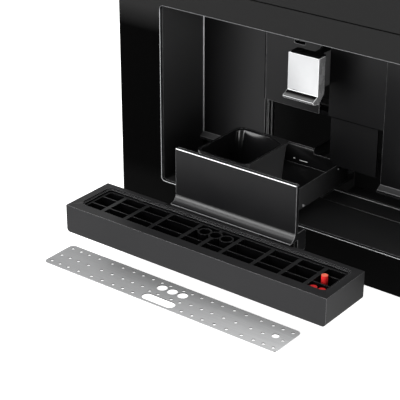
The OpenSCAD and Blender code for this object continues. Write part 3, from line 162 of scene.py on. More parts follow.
floor = make_floor()
make_camera()
middle = (0, front_y, 0.2)
area_light("key", (-1.4, front_y - 2.9, 0.9), middle, 2.4, 1.4, 100)
area_light("side", (2.8, front_y - 1.4, 0.9), middle, 1.2, 1.2, 34)
area_light("top", (-1.0, front_y - 1.7, 2.2), middle, 1.8, 1.2, 34)
area_light("overhead", (0.3, front_y - 0.8, 3.0), middle, 2.0, 1.2, 12)
area_light("back", (-1.6, front_y + 2.6, 2.4), middle, 2.4, 1.6, 14)
sky = bpy.data.worlds.new("studio")
sky.use_nodes = True
sky.node_tree.nodes["Background"].inputs["Color"].default_value = (1, 1, 1, 1)
sky.node_tree.nodes["Background"].inputs["Strength"].default_value = 0.3
scene.world = sky
scene.view_settings.view_transform = "Standard"


# Front
# Two sheets of black glass, printed from behind, with ground and polished edges.
# The wide one is cut out round the niche, the upper one carries display and button.
def solid_copy(node, name):
    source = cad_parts[node]
    mesh = source.data.copy()
    mesh.name = name
    mesh.materials.clear()
    work = bmesh.new()
    work.from_mesh(mesh)
    bmesh.ops.remove_doubles(work, verts=work.verts, dist=0.002 * mm)
    bmesh.ops.dissolve_limit(work, angle_limit=math.radians(0.4), verts=work.verts,
                             edges=work.edges, delimit={"NORMAL"})
    bmesh.ops.recalc_face_normals(work, faces=work.faces)
    work.to_mesh(mesh)
    work.free()
    piece = bpy.data.objects.new(name, mesh)
    scene.collection.objects.link(piece)
    return piece


def soften(piece, width, segments=2):
    limit = math.radians(35)
    mesh = piece.data
    mesh.polygons.foreach_set("use_smooth", [True] * len(mesh.polygons))
    mesh.set_sharp_from_angle(angle=limit)
    bevel = piece.modifiers.new("round_edges", "BEVEL")
    bevel.width = width
    bevel.segments = segments
    bevel.limit_method = "ANGLE"
    bevel.angle_limit = limit
    bevel.use_clamp_overlap = True
    bevel.harden_normals = True
    return piece


def dress(node, body, material, width, segments=2, edges=None):
    piece = soften(solid_copy(node, node + "_shown"), width, segments)
    piece.data.materials.append(material)
    if edges:
        piece.data.materials.append(edges)
        piece.modifiers["round_edges"].material = 1
    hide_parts(node)
    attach(piece, body)
    return piece


def along(nodes, links, axis, start, end):
    place = nodes.new("ShaderNodeTexCoord")
    split = nodes.new("ShaderNodeSeparateXYZ")
    links.new(place.outputs["Object"], split.inputs["Vector"])
    return spread(nodes, links, split.outputs[axis], 0.0, 1.0, start, end)


def bands(nodes, links, source, stops):
    ramp = nodes.new("ShaderNodeValToRGB")
    for index, (place, grey) in enumerate(stops):
        stop = ramp.color_ramp.elements[index] if index < 2 else ramp.color_ramp.elements.new(place)
        stop.position = place
        stop.color = (grey, grey, grey, 1)
    links.new(source, ramp.inputs["Fac"])
    return ramp.outputs["Color"]


def black_glass():
    material, nodes, links = new_material("black_glass")
    shader = nodes["Principled BSDF"]
    # The glass is coloured lighter near its bottom and towards its top edge as a painted
    # reflection.
    height = along(nodes, links, "Z", 0.0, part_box("niche_trim")[1][2])
    tone = bands(nodes, links, height, [(0.0, 0.0022), (0.16, 0.0018), (0.24, 0.0006),
                                        (0.87, 0.0006), (0.977, 0.015)])
    links.new(tone, shader.inputs["Base Color"])
    film = noise(nodes, links, 9.0, detail=6.0)
    links.new(spread(nodes, links, film, 0.03, 0.075), shader.inputs["Roughness"])
    shader.inputs["Specular IOR Level"].default_value = 0.005
    return material


glass_finish = black_glass()
glass_edge = 0.6 * mm
dress("fascia", "machine", glass_finish, glass_edge, 3)
dress("control_glass", "machine", glass_finish, glass_edge, 3)


# Niche bead
# A thin bright aluminium bead is pressed into the cut-out of the front glass.
# It is drawn wire, so fine lines run along it.
def bright_aluminium():
    material, nodes, links = new_material("bright_aluminium")
    shader = nodes["Principled BSDF"]
    lines = noise(nodes, links, 300.0, stretch=(0.02, 1, 0.02))
    bead_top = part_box("niche_trim")[1][2]
    # The top run of the bead is coloured darker as painted shade.
    top_run_shade = along(nodes, links, "Z", bead_top - 9 * mm, bead_top - 5 * mm)
    links.new(tint(nodes, links, top_run_shade, (0.30, 0.305, 0.31), (0.08, 0.081, 0.083), 0.0, 1.0),
              shader.inputs["Base Color"])
    links.new(spread(nodes, links, lines, 0.2, 0.34), shader.inputs["Roughness"])
    shader.inputs["Metallic"].default_value = 1.0
    return material


dress("niche_trim", "machine", bright_aluminium(), 0.35 * mm, 3)


# Niche
# The walls, floor and panels are injection moulded in black with a fine texture.
# The liner is coloured lighter towards its top as painted light, and thin bars stand for painted
# highlights and painted shade at edges and seams.
def moulded_black(name, dark, light, gloss, bump=0.25, shine=0.2):
    material, nodes, links = new_material(name)
    shader = nodes["Principled BSDF"]
    cloud = noise(nodes, links, 6.0, detail=3.0)
    links.new(tint(nodes, links, cloud, dark, light), shader.inputs["Base Color"])
    spots = noise(nodes, links, 1400.0, detail=2.0)
    links.new(spread(nodes, links, cloud, gloss - 0.04, gloss + 0.05), shader.inputs["Roughness"])
    grain(nodes, links, shader, spots, bump, 0.03 * mm)
    shader.inputs["Specular IOR Level"].default_value = shine
    return material


# A lighter colour for edges and faces that catch the light: painted highlight or painted
# reflection.
def painted_light(name, dark, light, gloss=0.22, shine=0.5):
    material, nodes, links = new_material(name)
    shader = nodes["Principled BSDF"]
    highlight_tone = noise(nodes, links, 90.0, detail=5.0)
    links.new(tint(nodes, links, highlight_tone, dark, light), shader.inputs["Base Color"])
    links.new(spread(nodes, links, highlight_tone, gloss, gloss + 0.12), shader.inputs["Roughness"])
    shader.inputs["Specular IOR Level"].default_value = shine
    return material


# A black whose colour grades along one axis as painted light and shade.
def light_graded_black(name, axis, start, end, near, far, gloss, bump, shine):
    material, nodes, links = new_material(name)
    shader = nodes["Principled BSDF"]
    light_grade = along(nodes, links, axis, start, end)
    links.new(tint(nodes, links, light_grade, near, far, 0.0, 1.0), shader.inputs["Base Color"])
    spots = noise(nodes, links, 1400.0, detail=2.0)
    links.new(spread(nodes, links, spots, gloss, gloss + 0.08), shader.inputs["Roughness"])
    grain(nodes, links, shader, spots, bump, 0.03 * mm)
    shader.inputs["Specular IOR Level"].default_value = shine
    return material


# An edge colour that grades along one axis: a painted highlight that fades out.
def light_graded_edge(name, axis, start, end, near, far):
    material, nodes, links = new_material(name)
    shader = nodes["Principled BSDF"]
    light_grade = along(nodes, links, axis, start, end)
    links.new(tint(nodes, links, light_grade, near, far, 0.0, 1.0), shader.inputs["Base Color"])
    highlight_tone = noise(nodes, links, 90.0, detail=5.0)
    links.new(spread(nodes, links, highlight_tone, 0.22, 0.34), shader.inputs["Roughness"])
    return material


def paint(piece, material, wanted):
    index = len(piece.data.materials)
    piece.data.materials.append(material)
    for face in piece.data.polygons:
        if wanted(face.center, face.normal):
            face.material_index = index


facing = 0.9
niche_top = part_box("niche_trim")[1][2]
# The liner's colour grades lighter towards its top as painted light.
liner_black = light_graded_black("liner_black", "Z", niche_top - 260 * mm, niche_top - 60 * mm,
                          (0.007, 0.007, 0.0073), (0.034, 0.034, 0.0345), 0.28, 0.25, 0.2)
panel_black = moulded_black("panel_black", (0.004, 0.004, 0.0043), (0.006, 0.006, 0.0064), 0.36,
                            shine=0.14)
cover_black = moulded_black("cover_black", (0.007, 0.007, 0.0073), (0.009, 0.009, 0.0093), 0.36,
                            shine=0.06)
deep_black = moulded_black("deep_black", (0.010, 0.010, 0.010), (0.015, 0.015, 0.015), 0.42)
shell_black = moulded_black("shell_black", (0.008, 0.008, 0.0082), (0.011, 0.011, 0.0112), 0.42)
# The bay shell glows faintly as painted light.
shell_inputs = shell_black.node_tree.nodes["Principled BSDF"].inputs
shell_inputs["Emission Color"].default_value = (1, 1, 1, 1)
shell_inputs["Emission Strength"].default_value = 0.0026
jamb_grey = moulded_black("jamb_grey", (0.003, 0.003, 0.0033), (0.005, 0.005, 0.0053), 0.3)
ledge_highlight = moulded_black("ledge_highlight", (0.055, 0.055, 0.056), (0.07, 0.07, 0.071), 0.3)
floor_black = moulded_black("floor_black", (0.015, 0.015, 0.0154), (0.020, 0.020, 0.0205), 0.3)
# Lighter colours on rounded edges are painted highlights.
soft_edge_highlight = painted_light("soft_edge_highlight", (0.10, 0.10, 0.103), (0.15, 0.15, 0.153))
light_edge_highlight = painted_light("light_edge_highlight", (0.36, 0.36, 0.365), (0.46, 0.46, 0.465))
edge = 0.5 * mm
liner_piece = dress("niche_liner", "machine", liner_black, edge, 2, soft_edge_highlight)
paint(liner_piece, floor_black, lambda centre, normal: normal.z > facing)
# The floor's edges carry a painted highlight, dark only along its front edge.
seam_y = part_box("niche_floor")[0][1]
ridge_edge = light_graded_edge("ridge_edge", "Y", seam_y + 2 * mm, seam_y + 6 * mm,
                        (0.04, 0.04, 0.041), (0.42, 0.42, 0.425))
dress("niche_floor", "machine", floor_black, 0.7 * mm, 2, ridge_edge)
back_piece = dress("back_walls", "machine", panel_black, edge, 2, soft_edge_highlight)
# The ledge's upward faces are coloured lighter as a painted highlight.
paint(back_piece, ledge_highlight, lambda centre, normal: 0.3 < normal.z < 0.95)
dress("spout_panel_left", "machine", panel_black, edge, 2, soft_edge_highlight)
dress("spout_panel_right", "machine", panel_black, 0.3 * mm)
dress("bay_cover", "machine", cover_black, 0.3 * mm)
dress("gutters", "machine", deep_black, edge)
dress("bay_shell", "machine", shell_black, edge)
dress("bay_jamb", "machine", jamb_grey, 0.4 * mm, 2, light_edge_highlight)
dress("front_carrier", "machine", deep_black, edge)


def thin_bar(name, low, high, material, body):
    mesh = bpy.data.meshes.new(name)
    points = [(x, y, z) for x in (low[0], high[0]) for y in (low[1], high[1])
              for z in (low[2], high[2])]
    faces = [(0, 1, 3, 2), (4, 6, 7, 5), (0, 4, 5, 1), (2, 3, 7, 6), (0, 2, 6, 4), (1, 5, 7, 3)]
    mesh.from_pydata(points, [], faces)
    piece = bpy.data.objects.new(name, mesh)
    scene.collection.objects.link(piece)
    soften(piece, 0.3 * mm)
    piece.data.materials.append(material)
    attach(piece, body)


wall_low, wall_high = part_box("back_walls")
corner_x = wall_low[0] + 2.5 * mm
corner_y = wall_low[1] + 8 * mm
corner_z = wall_low[2] + 9.2 * mm
corner_top = wall_high[2] - 3 * mm
strip_w = 1.7 * mm
strip_d = 1.2 * mm
# A thin bright bar in the back left corner is a painted highlight, lighter towards the top.
corner_highlight = light_graded_edge("corner_highlight", "Z", niche_top - 200 * mm, niche_top - 40 * mm,
                          (0.45, 0.45, 0.455), (0.9, 0.9, 0.91))
thin_bar("niche_corner", (corner_x, corner_y, corner_z),
         (corner_x + strip_w, corner_y + strip_d, corner_top), corner_highlight, "machine")
seam_black = moulded_black("seam_black", (0.0008, 0.0008, 0.0009), (0.0014, 0.0014, 0.0015), 0.5,
                           shine=0.02)
left_low, left_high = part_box("spout_panel_left")
right_low, right_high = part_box("spout_panel_right")
proud = 0.06 * mm
seam_d = 0.5 * mm
side_seam_x = left_low[0] - 2.6 * mm
side_seam_w = 1.9 * mm
cover_seam_h = 1.6 * mm
thin_bar("panel_shadow", (side_seam_x, left_low[1] - proud, left_low[2]),
         (side_seam_x + side_seam_w, left_low[1] + seam_d, left_high[2]), seam_black, "machine")
thin_bar("cover_shadow", (right_low[0] + mm, right_low[1] - proud, right_low[2]),
         (right_high[0], right_low[1] + seam_d, right_low[2] + cover_seam_h), seam_black,
         "machine")
# A thin light bar along the foot of the left wall is a painted highlight.
foot_x = -219.2 * mm
foot_z = 61.4 * mm
foot_w = 1.3 * mm
foot_l = 69 * mm
thin_bar("niche_foot_highlight", (foot_x, front_y + mm, foot_z),
         (foot_x + foot_w, front_y + mm + foot_l, foot_z + foot_w), soft_edge_highlight, "machine")


# Spout
# A folded and polished steel cover slides up and down with the black core behind it.
# Two nozzles point down out of the core.
def polished_chrome():
    material, nodes, links = new_material("polished_chrome")
    shader = nodes["Principled BSDF"]
    wear = noise(nodes, links, 30.0, detail=5.0)
    links.new(tint(nodes, links, wear, (0.34, 0.343, 0.348), (0.37, 0.373, 0.378)),
              shader.inputs["Base Color"])
    links.new(spread(nodes, links, wear, 0.02, 0.032), shader.inputs["Roughness"])
    shader.inputs["Metallic"].default_value = 1.0
    return material


def ribbed_lip(foot):
    material, nodes, links = new_material("ribbed_lip")
    shader = nodes["Principled BSDF"]
    # Light and dark bands stand for ribs: painted highlights on the crests and painted shade in the
    # grooves.
    ribs = 3
    rib_highlight_grey = 0.15
    groove_shade_grey = 0.005
    height = along(nodes, links, "Z", foot, foot + 13 * mm)
    stops = []
    for rib in range(ribs):
        stops += [(rib / ribs, rib_highlight_grey), ((rib + 0.5) / ribs, groove_shade_grey)]
    stops.append((1.0, groove_shade_grey))
    links.new(bands(nodes, links, height, stops), shader.inputs["Base Color"])
    wear = noise(nodes, links, 30.0, detail=5.0)
    links.new(spread(nodes, links, wear, 0.2, 0.3), shader.inputs["Roughness"])
    shader.inputs["Specular IOR Level"].default_value = 0.1
    return material


# The cover's rounded edges are coloured near white as a painted highlight.
chrome_edge_highlight = painted_light("chrome_edge_highlight", (0.86, 0.87, 0.88), (0.94, 0.95, 0.96), 0.12)
cover_piece = dress("spout_cover", "spout", polished_chrome(), 0.5 * mm, 3,
                    chrome_edge_highlight)
# The side faces of the steel cover are coloured light grey as a painted reflection.
cover_side_reflection = painted_light("cover_side_reflection", (0.15, 0.15, 0.152), (0.2, 0.2, 0.202), 0.2, 0.4)
paint(cover_piece, cover_side_reflection, lambda centre, normal: abs(normal.x) > facing)
cover_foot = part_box("spout_cover")[0][2]
lip_top = cover_foot + 14 * mm
paint(cover_piece, ribbed_lip(cover_foot), lambda centre, normal: (
    abs(normal.x) < facing and normal.y < 0 and centre.z < lip_top))
core_black = moulded_black("core_black", (0.0015, 0.0015, 0.0017), (0.0025, 0.0025, 0.0027), 0.3,
                           shine=0.04)
slide_grey = moulded_black("slide_grey", (0.07, 0.07, 0.071), (0.09, 0.09, 0.091), 0.34)
dress("spout_body", "spout", core_black, 0.8 * mm, 3)
dress("spout_nozzles", "spout", core_black, 0.3 * mm)
slide_piece = dress("spout_slide", "spout", slide_grey, edge)
# The slide's top faces are coloured black as painted shade.
paint(slide_piece, core_black, lambda centre, normal: normal.z > facing)


# Drip tray
# The tray is moulded in dark grey plastic with a satin skin; its edges carry a painted highlight
# that fades towards the back.
# A rib grid with three drain rings lies in it under the plate.
tray_grey = moulded_black("tray_grey", (0.019, 0.019, 0.0197), (0.022, 0.022, 0.0228), 0.34, 0.15,
                          0.04)
grid_grey = moulded_black("grid_grey", (0.014, 0.014, 0.0145), (0.018, 0.018, 0.0185), 0.3, 0.1,
                          0.04)
painted_shade = moulded_black("painted_shade", (0.0016, 0.0016, 0.0018), (0.0026, 0.0026, 0.0028), 0.3, 0.1,
                          0.03)
tray_low, tray_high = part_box("drip_tray")


def inside_tray(centre, normal):
    wall = 2.9 * mm
    return (tray_low[0] + wall < centre.x < tray_high[0] - wall
            and tray_low[1] + wall < centre.y < tray_high[1] - wall
            and centre.z > tray_low[2] + wall / 2
            and (normal.z < 0.5 or centre.z < tray_high[2] - 3 * mm))


# The tray's end face grades from lighter at the front to darker at the back as painted light and
# shade.
tray_end = light_graded_black("tray_end", "Y", tray_low[1], tray_high[1], (0.027, 0.027, 0.0278),
                       (0.006, 0.006, 0.0063), 0.3, 0.15, 0.04)
# The tray's edges are coloured light at the front and dark at the back as a painted highlight.
tray_edge = light_graded_edge("tray_edge", "Y", tray_high[1] - 24 * mm, tray_high[1] - 16 * mm,
                       (0.24, 0.24, 0.244), (0.03, 0.03, 0.031))
tray_piece = dress("drip_tray", "tray", tray_grey, 0.6 * mm, 2, tray_edge)
paint(tray_piece, tray_end, lambda centre, normal: normal.x > facing)
# The inside of the tray is coloured near black as painted shade.
paint(tray_piece, painted_shade, inside_tray)
grid_piece = dress("tray_grid", "tray", grid_grey, 0.4 * mm, 2, soft_edge_highlight)
# The sides of the grid ribs are coloured near black as painted shade.
paint(grid_piece, painted_shade, lambda centre, normal: normal.z < 0.5)


# Float
# A red moulded float lies loose in the tray under the grid.
# Its peg stands up through the grid and rises when the tray is full.
def red_float():
    material, nodes, links = new_material("red_float")
    shader = nodes["Principled BSDF"]
    cloud = noise(nodes, links, 60.0)
    links.new(tint(nodes, links, cloud, (0.66, 0.015, 0.018), (0.8, 0.03, 0.03)),
              shader.inputs["Base Color"])
    links.new(spread(nodes, links, cloud, 0.25, 0.35), shader.inputs["Roughness"])
    return material


float_piece = dress("float", "float_drum", red_float(), 0.5 * mm, 3)
peg_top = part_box("float")[1][2]
# The top face of the peg is coloured lighter orange as a painted highlight.
paint(float_piece, painted_light("float_top_highlight", (0.85, 0.13, 0.08), (0.95, 0.2, 0.12)),
      lambda centre, normal: normal.z > facing and centre.z > peg_top - mm)


# Drip plate
# A stainless sheet, punched and brushed along its length, is taken off and lies in front.
# The walls of the holes are coloured dark as painted shade, and the sheet is coloured lighter
# towards its right end as painted light.
def brushed_steel():
    material, nodes, links = new_material("brushed_steel")
    shader = nodes["Principled BSDF"]
    lines = noise(nodes, links, 900.0, stretch=(0.012, 1, 1), detail=5.0, roughness=0.6)
    broad = noise(nodes, links, 5.0)
    low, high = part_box("drip_plate")
    light_blend = nodes.new("ShaderNodeMix")
    light_blend.data_type = "RGBA"
    links.new(along(nodes, links, "X", low[0], high[0]), light_blend.inputs["Factor"])
    links.new(tint(nodes, links, lines, (0.27, 0.272, 0.276), (0.34, 0.342, 0.346)),
              light_blend.inputs["A"])
    links.new(tint(nodes, links, lines, (0.66, 0.665, 0.67), (0.8, 0.805, 0.81)),
              light_blend.inputs["B"])
    links.new(light_blend.outputs["Result"], shader.inputs["Base Color"])
    links.new(spread(nodes, links, broad, 0.52, 0.6), shader.inputs["Roughness"])
    grain(nodes, links, shader, lines, 0.12, 0.02 * mm)
    shader.inputs["Metallic"].default_value = 0.15
    shader.inputs["Anisotropic"].default_value = 0.4
    return material


plate_piece = dress("drip_plate", "plate", brushed_steel(), 0.15 * mm, 2)
plate_low, plate_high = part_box("drip_plate")
# The hole walls carry painted shade.
paint(plate_piece, painted_shade, lambda centre, normal: (
    abs(normal.z) < 0.5 and plate_low[0] + mm < centre.x < plate_high[0] - mm
    and plate_low[1] + mm < centre.y < plate_high[1] - mm))


# Drawer
# The drawer front is moulded in one piece with its concave foot; the low body follows.
# Steel rails are riveted under the body.
drawer_black = moulded_black("drawer_black", (0.004, 0.004, 0.0045), (0.006, 0.006, 0.0065), 0.32,
                             shine=0.14)
body_black = moulded_black("body_black", (0.007, 0.007, 0.0073), (0.010, 0.010, 0.0103), 0.34,
                           shine=0.1)


# A bright grey for thin bars that stand for painted highlights and glints.
def painted_glint():
    material, nodes, links = new_material("painted_glint")
    shader = nodes["Principled BSDF"]
    lines = noise(nodes, links, 300.0, stretch=(0.02, 1, 1))
    links.new(tint(nodes, links, lines, (0.72, 0.725, 0.73), (0.84, 0.845, 0.85)),
              shader.inputs["Base Color"])
    links.new(spread(nodes, links, lines, 0.25, 0.4), shader.inputs["Roughness"])
    shader.inputs["Metallic"].default_value = 0.2
    return material


def outside_of(node):
    low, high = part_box(node)
    middle_x, middle_y = (low[0] + high[0]) / 2, (low[1] + high[1]) / 2

    def wanted(centre, normal):
        out = (centre.x - middle_x) * normal.x + (centre.y - middle_y) * normal.y
        return out > 0 and abs(normal.z) < 0.6

    return wanted


front_piece = dress("drawer_front", "carriage", drawer_black, 0.6 * mm, 3,
                    soft_edge_highlight)
# The concave foot of the drawer front is coloured lighter as a painted highlight.
cove_highlight = moulded_black("cove_highlight", (0.010, 0.010, 0.0105), (0.013, 0.013, 0.0135), 0.3, 0.1,
                           0.34)
paint(front_piece, cove_highlight, lambda centre, normal: normal.y < -0.1 and 0.12 < normal.z < 0.98)
front_low, front_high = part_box("drawer_front")
# The right side face of the drawer front is coloured lighter as painted light.
paint(front_piece, floor_black, lambda centre, normal: (
    normal.x > facing and centre.x < front_high[0] - mm))
body_low, body_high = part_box("drawer_body")
glint_finish = painted_glint()
face_y = body_low[1] - 6 * mm
lip_z = front_high[2] - 1.6 * mm
lip_left = front_low[0] + mm
lip_right = front_high[0] - mm
shade_h = 1.2 * mm
# A bright bar along the top of the drawer front is a painted highlight, with a painted shadow bar
# under it.
thin_bar("drawer_lip", (lip_left, face_y - 0.08 * mm, lip_z),
         (lip_right, body_low[1], front_high[2]), glint_finish, "carriage")
thin_bar("drawer_lip_shadow", (lip_left, face_y - 0.04 * mm, lip_z - shade_h),
         (lip_right, face_y + mm, lip_z), painted_shade, "carriage")
# The body's outer sides grade darker towards the back as painted shade.
drawer_side = light_graded_black("drawer_side", "Y", body_low[1] + 130 * mm, body_low[1] + 260 * mm,
                          (0.034, 0.034, 0.0345), (0.008, 0.008, 0.0082), 0.3, 0.25, 0.14)
body_piece = dress("drawer_body", "carriage", body_black, 0.5 * mm, 2, soft_edge_highlight)
# The faces of the body that look forward into the well are coloured darker as painted shade.
well_shade = moulded_black("well_shade", (0.003, 0.003, 0.0032), (0.0045, 0.0045, 0.0047), 0.34,
                           shine=0.08)
paint(body_piece, well_shade, lambda centre, normal: normal.y < -facing)
paint(body_piece, drawer_side, outside_of("drawer_body"))
# The top of the body's rim and its right end are coloured lighter as painted highlights.
paint(body_piece, slide_grey, lambda centre, normal: (
    normal.z > facing and centre.z > body_high[2] - 1.2 * mm))
paint(body_piece, light_edge_highlight, lambda centre, normal: centre.x > body_high[0] - mm)
# Two small clips stand on the inner back wall; their bright grey is a painted glint.
well_back = front_y + 147.4 * mm
clip_d = 0.8 * mm
clips = {"drawer_clip": (-77.0, -74.0, 84.2, 86.0), "drawer_catch": (-66.0, -51.0, 83.6, 84.5)}
for name, (left, right, foot, head) in clips.items():
    thin_bar(name, (left * mm, well_back - clip_d, foot * mm), (right * mm, well_back, head * mm),
             glint_finish, "carriage")
wall_x = body_high[0] - 1.6 * mm
stop_y = front_y + 117 * mm
stop_z = 101 * mm
stop_l = 11 * mm
stop_h = 4 * mm
pin_l = 3 * mm
pin_h = 2.4 * mm
thin_bar("drawer_stop", (wall_x, stop_y, stop_z),
         (wall_x + 1.3 * mm, stop_y + stop_l, stop_z + stop_h), seam_black, "carriage")
# The bright pin on the black stop is a painted glint.
thin_bar("stop_pin", (wall_x + mm, stop_y + mm, stop_z + mm),
         (wall_x + 1.5 * mm, stop_y + mm + pin_l, stop_z + mm + pin_h), glint_finish, "carriage")


# Grounds container
# A deep bin with round corners, moulded in black plastic, is set into the drawer.
# It is smooth and glossy inside, satin outside, and lifts out to be emptied.
bin_black = moulded_black("bin_black", (0.004, 0.004, 0.0043), (0.007, 0.007, 0.0073), 0.16, 0.05,
                          0.3)
bin_satin = moulded_black("bin_satin", (0.026, 0.026, 0.0265), (0.033, 0.033, 0.0335), 0.3, 0.08)
# The container's rounded edges are coloured light grey as a painted highlight.
bin_piece = dress("grounds_container", "container", bin_black, 0.5 * mm, 2,
                  light_edge_highlight)
paint(bin_piece, bin_satin, outside_of("grounds_container"))


# Rails
# Zinc-coated outer runners carry the bright steel ones of the drawer.
# The outer pair is screwed under the niche, the inner pair under the drawer body.
def zinc_sheet():
    material, nodes, links = new_material("zinc_sheet")
    shader = nodes["Principled BSDF"]
    place = nodes.new("ShaderNodeTexCoord")
    spangle = nodes.new("ShaderNodeTexVoronoi")
    spangle.inputs["Scale"].default_value = 130.0
    links.new(place.outputs["Object"], spangle.inputs["Vector"])
    links.new(tint(nodes, links, spangle.outputs["Distance"], (0.37, 0.377, 0.385),
                   (0.31, 0.317, 0.325), 0.1, 0.8), shader.inputs["Base Color"])
    links.new(spread(nodes, links, spangle.outputs["Distance"], 0.32, 0.46, 0.1, 0.8),
              shader.inputs["Roughness"])
    grain(nodes, links, shader, noise(nodes, links, 500.0, detail=3.0), 0.1, 0.02 * mm)
    shader.inputs["Metallic"].default_value = 1.0
    return material


def ground_steel():
    material, nodes, links = new_material("ground_steel")
    shader = nodes["Principled BSDF"]
    rings = noise(nodes, links, 700.0, stretch=(0.1, 0.1, 1), detail=3.0)
    links.new(tint(nodes, links, rings, (0.46, 0.46, 0.48), (0.6, 0.6, 0.62)),
              shader.inputs["Base Color"])
    links.new(spread(nodes, links, rings, 0.16, 0.3), shader.inputs["Roughness"])
    shader.inputs["Metallic"].default_value = 1.0
    return material


zinc_finish = zinc_sheet()
steel_finish = ground_steel()
dress("drawer_rails", "carriage", steel_finish, 0.25 * mm)
dress("fixed_rails", "machine", zinc_finish, 0.25 * mm)


# Spout guide
# Two ground steel rods stand in pressed brackets behind the centre panel.
# The spout slide runs on them.
dress("spout_rods", "machine", steel_finish, 0.3 * mm)
dress("rod_brackets", "machine", core_black, 0.3 * mm)


# Cup light
# A frosted cover under the niche ceiling spreads the light of a row of diodes.
# It is clipped in from below.
def frosted_cover():
    material, nodes, links = new_material("frosted_cover")
    shader = nodes["Principled BSDF"]
    milk = noise(nodes, links, 120.0)
    links.new(tint(nodes, links, milk, (0.74, 0.74, 0.72), (0.82, 0.82, 0.8)),
              shader.inputs["Base Color"])
    links.new(spread(nodes, links, milk, 0.4, 0.55), shader.inputs["Roughness"])
    shader.inputs["Transmission Weight"].default_value = 0.25
    return material


dress("cup_light", "machine", frosted_cover(), 0.4 * mm)


# Display and button
# The display sits behind the upper glass, dark while the machine is off.
# The round button stands in a hole of the glass and presses on a switch behind it.
def dark_display():
    material, nodes, links = new_material("dark_display")
    shader = nodes["Principled BSDF"]
    cells = noise(nodes, links, 1800.0, detail=1.0)
    links.new(tint(nodes, links, cells, (0.004, 0.005, 0.007), (0.009, 0.011, 0.015)),
              shader.inputs["Base Color"])
    links.new(spread(nodes, links, cells, 0.1, 0.18), shader.inputs["Roughness"])
    return material


button_grey = moulded_black("button_grey", (0.05, 0.05, 0.053), (0.064, 0.064, 0.067), 0.3, 0.12)
dress("display_module", "machine", dark_display(), 0.4 * mm)
dress("power_button", "button", button_grey, 0.5 * mm, 3)
dress("button_switch", "machine", deep_black, 0.3 * mm)


# Housing
# Folded zinc-coated sheet: base, two side walls, vented back and top cover.
# Pan-head screws hold the folds, and rubber feet carry the weight.
def feet_rubber():
    material, nodes, links = new_material("feet_rubber")
    shader = nodes["Principled BSDF"]
    dust = noise(nodes, links, 200.0)
    links.new(tint(nodes, links, dust, (0.018, 0.018, 0.018), (0.03, 0.03, 0.03)),
              shader.inputs["Base Color"])
    links.new(spread(nodes, links, dust, 0.6, 0.8), shader.inputs["Roughness"])
    grain(nodes, links, shader, dust, 0.2, 0.05 * mm)
    return material


sheet_edge = 0.3 * mm
for node in ("chassis_base", "housing_left", "housing_right", "rear_panel", "top_cover"):
    dress(node, "machine", zinc_finish, sheet_edge)
dress("housing_screws", "machine", steel_finish, 0.25 * mm)
dress("feet", "machine", feet_rubber(), 0.6 * mm)
dress("inlet_socket", "machine", deep_black, 0.4 * mm)


# Water tank
# The tank is blown in clear plastic and shows a faint tint at its edges.
# It stands on a valve seat, and a hinged lid closes it from above.
def clear_plastic():
    material, nodes, links = new_material("clear_plastic")
    shader = nodes["Principled BSDF"]
    haze = noise(nodes, links, 40.0)
    links.new(tint(nodes, links, haze, (0.7, 0.75, 0.78), (0.78, 0.83, 0.86)),
              shader.inputs["Base Color"])
    links.new(spread(nodes, links, haze, 0.05, 0.14), shader.inputs["Roughness"])
    shader.inputs["Transmission Weight"].default_value = 0.85
    shader.inputs["IOR"].default_value = 1.5
    return material


def milky_pipe():
    material, nodes, links = new_material("milky_pipe")
    shader = nodes["Principled BSDF"]
    haze = noise(nodes, links, 90.0)
    links.new(tint(nodes, links, haze, (0.66, 0.67, 0.68), (0.76, 0.77, 0.78)),
              shader.inputs["Base Color"])
    links.new(spread(nodes, links, haze, 0.25, 0.4), shader.inputs["Roughness"])
    shader.inputs["Transmission Weight"].default_value = 0.3
    return material


lid_black = moulded_black("lid_black", (0.02, 0.02, 0.021), (0.027, 0.027, 0.028), 0.36)
part_grey = moulded_black("part_grey", (0.045, 0.045, 0.048), (0.06, 0.06, 0.063), 0.42)
dress("water_tank", "tank", clear_plastic(), 0.6 * mm)
dress("tank_lid", "tank_cap", lid_black, 0.6 * mm, 3)
dress("tank_seat", "machine", part_grey, 0.4 * mm)
dress("tank_shelf", "machine", zinc_finish, sheet_edge)
dress("water_pipe", "machine", milky_pipe(), 0.3 * mm)
dress("pump", "machine", part_grey, 0.5 * mm)


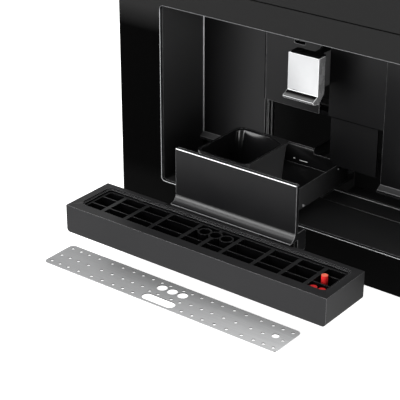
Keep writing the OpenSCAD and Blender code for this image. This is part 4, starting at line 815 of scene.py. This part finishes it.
# Beans and grinder
# A smoked hopper feeds a conical steel burr; the motor hangs under the housing.
# A chute leads the ground coffee to the brewing chamber.
def smoked_plastic():
    material, nodes, links = new_material("smoked_plastic")
    shader = nodes["Principled BSDF"]
    haze = noise(nodes, links, 30.0)
    links.new(tint(nodes, links, haze, (0.05, 0.047, 0.043), (0.07, 0.066, 0.06)),
              shader.inputs["Base Color"])
    links.new(spread(nodes, links, haze, 0.08, 0.16), shader.inputs["Roughness"])
    shader.inputs["Transmission Weight"].default_value = 0.6
    shader.inputs["IOR"].default_value = 1.5
    return material


def cast_aluminium():
    material, nodes, links = new_material("cast_aluminium")
    shader = nodes["Principled BSDF"]
    skin = noise(nodes, links, 350.0, detail=5.0)
    links.new(tint(nodes, links, skin, (0.46, 0.47, 0.48), (0.58, 0.59, 0.6)),
              shader.inputs["Base Color"])
    links.new(spread(nodes, links, skin, 0.36, 0.52), shader.inputs["Roughness"])
    grain(nodes, links, shader, skin, 0.3, 0.06 * mm)
    shader.inputs["Metallic"].default_value = 1.0
    return material


cast_finish = cast_aluminium()
dress("bean_hopper", "machine", smoked_plastic(), 0.5 * mm)
dress("bean_lid", "bean_cap", lid_black, 0.6 * mm, 3)
dress("grinder_housing", "machine", part_grey, 0.5 * mm)
dress("grinder_burr", "burr", steel_finish, 0.2 * mm)
dress("grinder_motor", "machine", zinc_finish, 0.5 * mm)
dress("grinder_stand", "machine", zinc_finish, sheet_edge)
dress("coffee_chute", "machine", deep_black, 0.4 * mm)


# Brewing unit
# A plastic frame carries the chamber, the piston and its lifting screw with motor.
# Behind it stand the cast boiler and, on the side wall, the main board.
def solder_mask():
    material, nodes, links = new_material("solder_mask")
    shader = nodes["Principled BSDF"]
    tracks = noise(nodes, links, 160.0, stretch=(1, 0.2, 1), detail=1.0)
    links.new(tint(nodes, links, tracks, (0.012, 0.075, 0.03), (0.03, 0.16, 0.07), 0.45, 0.52),
              shader.inputs["Base Color"])
    links.new(spread(nodes, links, tracks, 0.3, 0.42), shader.inputs["Roughness"])
    return material


dress("brew_frame", "machine", part_grey, 0.5 * mm)
dress("brew_chamber", "machine", part_grey, 0.5 * mm)
dress("brew_piston", "piston", steel_finish, 0.4 * mm)
dress("brew_screw", "lift_screw", steel_finish, 0.2 * mm)
dress("brew_motor", "machine", zinc_finish, 0.4 * mm)
dress("boiler", "machine", cast_finish, 0.6 * mm)
dress("main_board", "machine", solder_mask(), 0.2 * mm)
